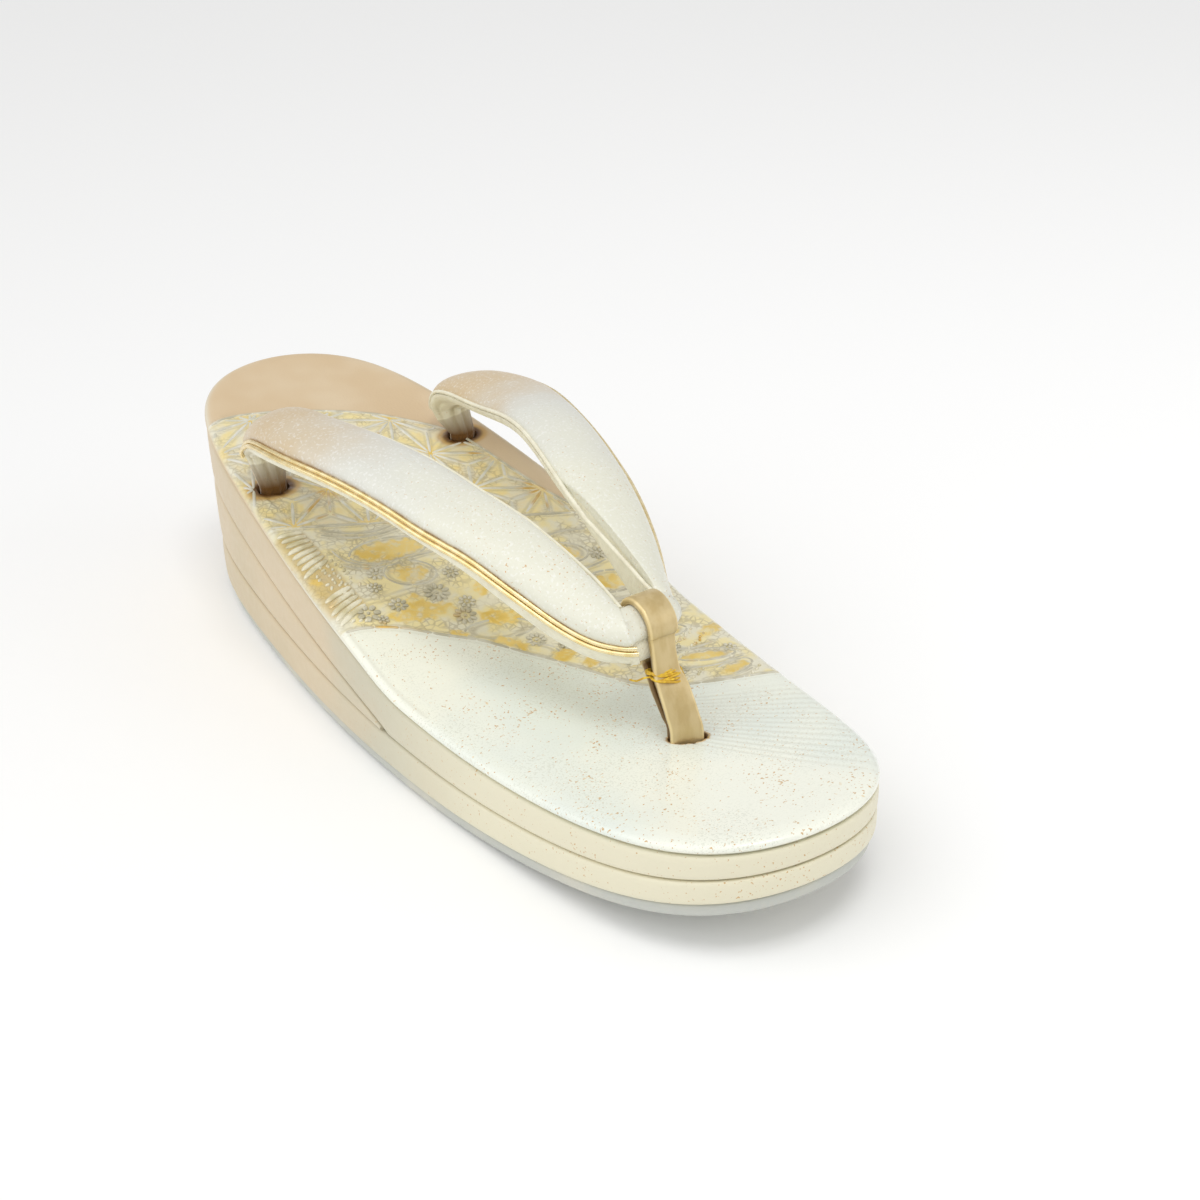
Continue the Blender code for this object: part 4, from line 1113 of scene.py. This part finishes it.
def strapSkin(inner, outer, normal, shares):
    # the top of the strap in one section, from the outer seam over to the inner one and back underneath
    across = unit(outer - inner)
    up = normal * strap["crown"] * shares[0] * handleReach
    bulge = across * strap["bulge"]
    body = handleCurve(outer, outer + up + bulge, inner + up - bulge, inner, strap["skinPoints"])
    tuck = strap["edgeTuck"] * min(1.0, shares[0])
    under = [inner - normal * tuck + across * 1.2, (inner + outer) / 2 + normal * 0.6,
             outer - normal * tuck - across * 1.2]
    return np.concatenate([body, np.array(under)])


def strapLining(inner, outer, normal, shares):
    # the underside, from the inner seam to the outer one and back inside the skin
    across = unit(outer - inner)
    proud = inner - across * strap["liningProud"]
    lowInner = proud - normal * strap["depth"] * shares[1] * handleReach
    lean = max(strap["depth"] * shares[3], strap["welt"] * shares[0] ** 3)
    lowOuter = outer - normal * strap["depth"] * shares[2] * handleReach + across * lean
    body = handleCurve(proud, lowInner, lowOuter, outer, strap["skinPoints"])
    over = [outer + normal * 0.3 - across * 1.5, (inner + outer) / 2 + normal * 0.9,
            inner + normal * 0.3 + across * 0.8]
    return np.concatenate([body, np.array(over)])


def heldSeams(x):
    # both seams where the loop holds the straps
    inner = strapPoint(strap["heldInner"][0], 0.0, strap["heldInner"][1])
    outer = strapPoint(strap["heldOuter"][0], 0.0, strap["heldOuter"][1])
    normal = -np.cross([-1.0, 0.0, 0.0], unit(outer - inner))
    inner[0] = x
    outer[0] = x
    return inner, outer, normal


def tailHalf(height, front):
    # half of the round tail that goes down into its hole
    turns = np.linspace(0.0, math.pi, strap["skinPoints"])
    if front:
        turns = turns + math.pi
    rim = np.column_stack([
        strap["anchorSpread"] * strap["tailInset"] + np.cos(turns) * strap["tailWidth"] / 2,
        -strap["anchorSetback"] - np.sin(turns) * strap["tailThickness"] / 2,
        np.full(len(turns), float(footbedTop(-strap["anchorSetback"])) + height)])
    back = [rim[-1] + (rim[0] - rim[-1]) * share for share in (0.25, 0.5, 0.75)]
    return np.concatenate([rim, np.array(back)])


def strapHalf(side):
    # skin and lining sections of one strap, as if on the right, with each section's share of the run
    front = strap["outerFront"] if side > 0 else strap["innerFront"]
    slack = 0.0 if side > 0 else strap["innerSlack"]
    rows = smoothRows(strap["rows"] + front, strap["steps"])
    seams = [(strapPoint(*row[0:3], slack), strapPoint(*row[3:6], slack * strap["outerSeamSlack"]), row[6:10],
              min(1.0, max(0.0, row[0]))) for row in rows]
    centres = [(inner + outer) / 2 for inner, outer, row, along in seams]
    inner, outer, normal = heldSeams(0.0)
    centres.append((inner + outer) / 2)
    skins = [tailHalf(-strap["tailDepth"], False), tailHalf(strap["tailShows"], False)]
    linings = [tailHalf(-strap["tailDepth"], True), tailHalf(strap["tailShows"], True)]
    shares = [0.0, 0.0]
    seamPoints = []
    for place, (inner, outer, row, along) in enumerate(seams):
        run = centres[place + 1] - centres[max(place - 1, 0)]
        normal = unit(np.cross(outer - inner, run))
        skins.append(strapSkin(inner, outer, normal, row))
        linings.append(strapLining(inner, outer, normal, row))
        shares.append(along)
        seamPoints.append((outer, inner, normal, unit(outer - inner)))
    # the front end is rounded off and kept beside the loop, then runs straight through it
    clear = strap["loopWidth"] / 2 + strap["fit"] - side * strap["loopSidestep"]
    inner, outer, normal = heldSeams(clear)
    for sections, make in ((skins, strapSkin), (linings, strapLining)):
        held = make(inner, outer, normal, strap["heldShares"])
        for place, section in enumerate(reversed(sections[2:])):
            section[:, 0] = np.maximum(section[:, 0], clear + strap["squeeze"] * (place + 1))
            if place < len(strap["endRound"]):
                section[:, 1:] = mixed(section[:, 1:], held[:, 1:], strap["endRound"][place])
    for x in (clear, -side * strap["loopSidestep"]):
        inner, outer, normal = heldSeams(x)
        for sections, make in ((skins, strapSkin), (linings, strapLining)):
            section = make(inner, outer, normal, strap["heldShares"])
            section[:, 0] = x
            sections.append(section)
        shares.append(1.0)
    return np.array(skins), np.array(linings), np.array(shares), seamPoints


def buildStrap(side, label):
    skins, linings, shares, seamPoints = strapHalf(side)
    count = strap["skinPoints"]
    # soft folds where the lining is gathered into its hole
    t = np.linspace(0.0, 1.0, count)
    middleRow, halfRows, fadeRows = strap["gather"]
    rows = np.arange(len(linings))
    gather = past(np.abs(rows - middleRow), halfRows, fadeRows)[:, None]
    folds = np.sin(t * math.pi * strap["foldCount"] + 0.8)[None, :] * np.sin(t * math.pi)[None, :]
    middle = linings[:, :count].mean(axis=1, keepdims=True)
    linings[:, :count] += unit(linings[:, :count] - middle) * (gather * folds * strap["foldDepth"])[..., None]
    # painted shade in the hollows of the folds
    creaseShade = np.zeros(linings.shape[:2])
    creaseShade[:, :count] = gather * np.clip(-folds, 0.0, 1.0) * 0.9
    # painted shade on the tail's lowest rows, where it goes into its hole
    shadeBrown = np.repeat(past(rows, 1.0, 1.6)[:, None], linings.shape[1], axis=1)
    # painted shade along the outer seam, beside the piping, but not at the strap's ends
    along = np.repeat(shares[:, None], skins.shape[1], axis=1)
    seam = np.zeros(skins.shape[:2])
    seam[:, :3] = np.array([1.0, 0.8, 0.25])[None, :]
    seam[:, count:] = 1.0
    seam *= (np.clip(shares / 0.08, 0.0, 1.0) * np.clip((1.0 - shares) / 0.1, 0.0, 1.0))[:, None]
    for part, points, finish, slotName, fill, marks in (
            ("strapSkin", skins, strapLeather, "strap_leather", 0.75, {"along": along, "seam": seam}),
            ("strapLining", linings, liningCloth, "strap_lining", 0.6, {"creaseShade": creaseShade, "shadeBrown": shadeBrown})):
        piece = sweptPiece(part + label, closed(points * (side, 1, 1)), finish,
                           {name: closed(values) for name, values in marks.items()}, 60.0)
        settle(piece, slotName, "strap")
    return seamPoints


outerSeam = buildStrap(1, "Outer")
innerSeam = buildStrap(-1, "Inner")
print("straps ready")

# gold piping, two fine cords along each outer seam
piping = {
    "radius": 0.56,
    "rows": (0.12, 1.30),
    "away": 0.3,
    "innerLift": 0.7,
    "start": 5,
    "outerStop": 1,
    "innerStop": 10,
    "beadRadius": 0.5,
    "beadLift": 0.65,
    "beadInset": 0.35,
    "beadStart": 6,
    "beadStop": 2,
}


def cordMesh(route, radius):
    bpy.ops.object.select_all(action="DESELECT")
    bpy.ops.curve.primitive_nurbs_path_add()
    piece = bpy.context.object
    piece.data.splines.clear()
    spline = piece.data.splines.new("POLY")
    spline.points.add(len(route) - 1)
    for knot, point in zip(spline.points, route):
        knot.co = (*(point * mm), 1.0)
    piece.data.bevel_depth = radius * mm
    piece.data.bevel_resolution = 2
    piece.data.use_fill_caps = True
    bpy.ops.object.convert(target="MESH")
    piece = bpy.context.object
    bpy.ops.object.shade_smooth_by_angle(angle=math.radians(50))
    piece.select_set(False)
    return piece


def besideLoop(points, side, room):
    # cords end beside the band, not in it
    least = strap["loopWidth"] / 2 + strap["fit"] - side * strap["loopSidestep"] + room
    points = np.array(points)
    points[:, 0] = np.maximum(points[:, 0], least)
    return points * (side, 1, 1)


def buildPiping(seamPoints, side, label, node):
    radius = piping["radius"]
    kept = seamPoints[piping["start"]:-piping["outerStop" if side > 0 else "innerStop"]]
    rise = 0.0 if side > 0 else piping["innerLift"]
    cords = []
    for row in piping["rows"]:
        route = [outer + normal * rise + across * piping["away"] + unit(across * 0.75 - normal * 0.66) * row
                 for outer, inner, normal, across in kept]
        cords.append(cordMesh(besideLoop(route, side, radius), radius))
    settle(joinedPiece("piping" + label, cords, goldPiping), "gold_piping", node)
    # a cream bead where the lining shows along the inner seam
    radius = piping["beadRadius"]
    route = [inner - across * piping["beadInset"] + normal * piping["beadLift"]
             for outer, inner, normal, across in seamPoints[piping["beadStart"]:-piping["beadStop"]]]
    piece = joinedPiece("strapBead" + label, [cordMesh(besideLoop(route, side, radius), radius)], liningCloth)
    settle(piece, "strap_lining", "strap")


buildPiping(outerSeam, 1, "Outer", "piping_outer")
buildPiping(innerSeam, -1, "Inner", "piping_inner")
print("piping ready")

# the toe loop
loop = {
    "width": 7.5,
    "leafThickness": 1.7,
    "leafGap": 0.5,
    "corner": 0.6,
    "stemReach": 7.2,
    "stemSidestep": 1.4,
    "stemTurn": 24.0,
    "stemDepth": 5.0,
    "stemRelief": 1.8,
    "stemFall": 1.15,
    "neckLean": 0.6,
    "stemShares": (0.12, 0.35, 0.6, 0.8, 1.0),
    "bow": 0.9,
    "backBow": 0.3,
    "pinch": 0.16,
    # the next two are painted shade: along the band's edges, and on its inner faces away from the stem
    "rim": 0.3,
    "innerFaceShade": 0.4,
}


def heldRing():
    # the ring of points that the band lies round, in the plane of the loop
    inner, outer, normal = heldSeams(-strap["loopSidestep"])
    across = unit(outer - inner)
    shares = strap["heldShares"]
    up = normal * strap["crown"] * shares[0] * handleReach
    top = handleCurve(outer, outer + up, inner + up, inner, 9)[:-1]
    lowInner = inner - normal * strap["depth"] * shares[1] * handleReach
    lowOuter = outer - normal * strap["depth"] * shares[2] * handleReach + across * strap["depth"] * shares[3]
    return np.concatenate([top, handleCurve(inner, lowInner, lowOuter, outer, 9)[:-1]])


def bandRoute():
    # the band's middle line with its turn: up the front leaf, over the straps and down the back leaf
    ring = heldRing()
    middle = ring.mean(axis=0)
    reach = strap["fit"] + loop["leafThickness"] / 2
    around = []
    for place, point in enumerate(ring):
        run = unit(ring[(place + 1) % len(ring)] - ring[place - 1])
        away = np.array([0.0, run[2], -run[1]])
        if away @ (point - middle) < 0:
            away = -away
        around.append(point + away * reach)
    neckPlace = min(range(len(ring)), key=lambda at: around[at][2] - loop["neckLean"] * around[at][1])
    ordered = around[neckPlace + 1:] + around[:neckPlace]
    if ordered[0][1] < ordered[-1][1]:
        ordered.reverse()
    neck = around[neckPlace]
    holeY = neck[1] + loop["stemReach"]
    surface = float(footbedTop(holeY))
    stem = []
    for share in loop["stemShares"]:
        height = mixed(neck[2] - loop["leafThickness"], surface + loop["stemRelief"], share ** loop["stemFall"])
        stem.append((np.array([neck[0] - loop["stemSidestep"] * share, neck[1] + loop["stemReach"] * share, height]),
                     loop["stemTurn"] * share))
    stem.append((np.array([neck[0] - loop["stemSidestep"], holeY, surface - loop["stemDepth"]]), loop["stemTurn"]))
    apart = (loop["leafThickness"] + loop["leafGap"]) / 2
    frontLeaf, backLeaf = [], []
    for place, (point, turn) in enumerate(stem):
        before = stem[max(place - 1, 0)][0]
        after = stem[min(place + 1, len(stem) - 1)][0]
        across = np.array([math.cos(math.radians(turn)), -math.sin(math.radians(turn)), 0.0])
        out = unit(np.cross(after - before, across))
        frontLeaf.append((*(point - out * apart), turn))
        backLeaf.append((*(point + out * apart), turn))
    rows = frontLeaf[::-1] + [(*point, 0.0) for point in ordered] + backLeaf
    return smoothRows(rows, 4), neck, len(stem)


def buildLoop():
    rows, neck, stemCount = bandRoute()
    half, thick, corner = loop["width"] / 2, loop["leafThickness"] / 2, loop["corner"]
    turns = np.linspace(0.0, math.pi / 2, 4)
    points, rimShade = [], []
    for place, row in enumerate(rows):
        run = rows[min(place + 1, len(rows) - 1)][:3] - rows[max(place - 1, 0)][:3]
        angle = math.radians(row[3])
        across = np.array([math.cos(angle), -math.sin(angle), 0.0])
        out = unit(np.cross(run, across))
        fromEnd = min(place, len(rows) - 1 - place)
        ends = fromEnd / (stemCount * 4)
        wide = half * (1.0 - loop["pinch"] * float(hill(np.array(abs(ends - 1.0)), 0.4)))
        bow = loop["bow"] * math.sin(math.pi * min(1.0, ends)) * (1.0 if place < len(rows) / 2 else loop["backBow"])
        section = []
        for right, up in ((1, -1), (1, 1), (-1, 1), (-1, -1)):
            bend = [(wide - corner + corner * math.cos(t), thick - corner + corner * math.sin(t)) for t in turns]
            if right != up:
                bend.reverse()
            section += [row[:3] + out * bow + across * right * reach + out * up * high for reach, high in bend]
        points.append(section)
        # painted shade: darkest on the stem's inner faces, hidden between the two leaves, lighter on the band's other
        # inner faces and along its edges
        inside = 1.0 if fromEnd < stemCount * 4 else loop["innerFaceShade"]
        rimShade.append([inside if side in (0, 3) else loop["rim"] * (step in (0, 3))
                     for side in range(4) for step in range(4)])
    piece = sweptPiece("toeLoopBand", closed(np.array(points)), loopLeather, {"rim": closed(np.array(rimShade))}, 45.0)
    settle(piece, "loop_leather", "toe_loop")
    return neck


# a few turns of yellow thread round the neck of the loop, and its loose end
thread = {
    "radius": 0.3,
    "strayRadius": 0.21,
    "tilts": (-0.22, 0.12, 0.3, -0.05, 0.2, 0.34),
    "tiltRise": 2.2,
    "start": (-0.1, 0.5, -1.4),
    "step": (-0.1, 0.4, -0.42),
    "room": (0.05, 0.25),
    "strayAt": (-0.4, 1.2, -2.6),
    "stray": ((0.0, 0.0, 0.0), (1.6, -0.2, 0.3), (3.0, -1.2, -0.4), (4.6, -1.4, 0.4)),
}


def buildThread(neck):
    wide = loop["width"] / 2 + thread["room"][0]
    deep = loop["leafThickness"] + loop["leafGap"] / 2 + thread["room"][1]
    turns = np.linspace(0.0, 2 * math.pi, 33)
    cords = []
    for place, tilt in enumerate(thread["tilts"]):
        middle = neck + np.array(thread["start"]) + np.array(thread["step"]) * place
        wave = tilt * thread["tiltRise"] * np.cos(turns) + 0.15 * np.sin(3 * turns + place)
        route = middle + np.column_stack([wide * np.cos(turns), deep * np.sin(turns), wave])
        cords.append(cordMesh(route, thread["radius"]))
    side = neck + np.array([loop["width"] / 2, 0.0, 0.0]) + np.array(thread["strayAt"])
    cords.append(cordMesh(smoothRows(side + np.array(thread["stray"]), 5), thread["strayRadius"]))
    settle(joinedPiece("toeLoopThread", cords, goldThread), "gold_thread")


buildThread(buildLoop())
print("toe loop ready")

# floor, light and backdrop
stage = {
    "floorSize": 6.0,
    "floorDrop": 0.0002,
    "keySun": 1.0,
    "keySoftness": 70,
    "keyTurn": (12, 42, 8),
    "world": 0.58,
    "backdrop": 0.86,
    # soft boxes: place, what they point at, size, power
    "boxes": {"fillLight": ((-0.6, 0.7, 0.45), (0.0, 0.02, 0.03), (0.8, 0.6), 1.3),
              "topLight": ((0.08, 0.34, 0.92), (0.0, 0.04, 0.03), (0.34, 0.34), 2.1)},
}

floorFinish, tree, shader = newMaterial("pale floor", Roughness=0.85, Specular_IOR_Level=0.1)
shader.inputs["Base Color"].default_value = (0.97, 0.97, 0.965, 1.0)
bpy.ops.object.select_all(action="DESELECT")
bpy.ops.mesh.primitive_plane_add(size=stage["floorSize"], location=(0.0, 0.0, -stage["floorDrop"]))
floor = bpy.context.object
floor.name = "floor"
floor.data.materials.append(floorFinish)

bpy.ops.object.light_add(type="SUN", rotation=[math.radians(turn) for turn in stage["keyTurn"]])
bpy.context.object.name = "keyLight"
bpy.context.object.data.energy = stage["keySun"]
bpy.context.object.data.angle = math.radians(stage["keySoftness"])
for name, (at, aim, size, power) in stage["boxes"].items():
    bpy.ops.object.light_add(type="AREA", location=at)
    softbox = bpy.context.object
    softbox.name = name
    softbox.data.shape = "RECTANGLE"
    softbox.data.size, softbox.data.size_y = size
    softbox.data.energy = power
    softbox.rotation_euler = (Vector(aim) - Vector(at)).to_track_quat("-Z", "Y").to_euler()

bpy.context.scene.view_settings.view_transform = "Standard"  # product-photo whites
world = bpy.data.worlds.new("studio")
bpy.context.scene.world = world
world.use_nodes = True
# the backdrop is brighter than the light that it gives
seen = addNode(world.node_tree, "ShaderNodeLightPath", {}).outputs["Is Camera Ray"]
extra = times(world.node_tree, seen, stage["backdrop"] - stage["world"])
sky = world.node_tree.nodes["Background"]
sky.inputs["Color"].default_value = (1.0, 1.0, 1.0, 1.0)
world.node_tree.links.new(sums(world.node_tree, "ADD", extra, stage["world"]), sky.inputs["Strength"])

# the camera, fitted to the photograph: degrees and millimetres
shot = {
    "azimuth": 36.51,
    "elevation": 30.78,
    "roll": -0.38,
    "distance": 409.94,
    "target": (-15.23, 37.69, 20.0),
    "lens": 52.18,
    "shift": (-0.0340, 0.0607),
}


def placeCamera():
    azimuth, elevation, roll = (math.radians(shot[key]) for key in ("azimuth", "elevation", "roll"))
    back = Vector((math.sin(azimuth) * math.cos(elevation), math.cos(azimuth) * math.cos(elevation),
                   math.sin(elevation)))
    right = (-back).cross(Vector((0.0, 0.0, 1.0))).normalized()
    up = right.cross(-back)
    turnedRight = right * math.cos(roll) + up * math.sin(roll)
    turnedUp = -right * math.sin(roll) + up * math.cos(roll)
    matrix = Matrix((turnedRight, turnedUp, back)).transposed().to_4x4()
    matrix.translation = (Vector(shot["target"]) + back * shot["distance"]) * mm
    bpy.ops.object.camera_add()
    camera = bpy.context.object
    camera.name = "photoCamera"
    camera.matrix_world = matrix
    camera.data.lens = shot["lens"]
    camera.data.sensor_width = 36.0
    camera.data.shift_x, camera.data.shift_y = shot["shift"]
    camera.data.clip_start = 0.01
    bpy.context.scene.camera = camera


placeCamera()
print("stage ready")
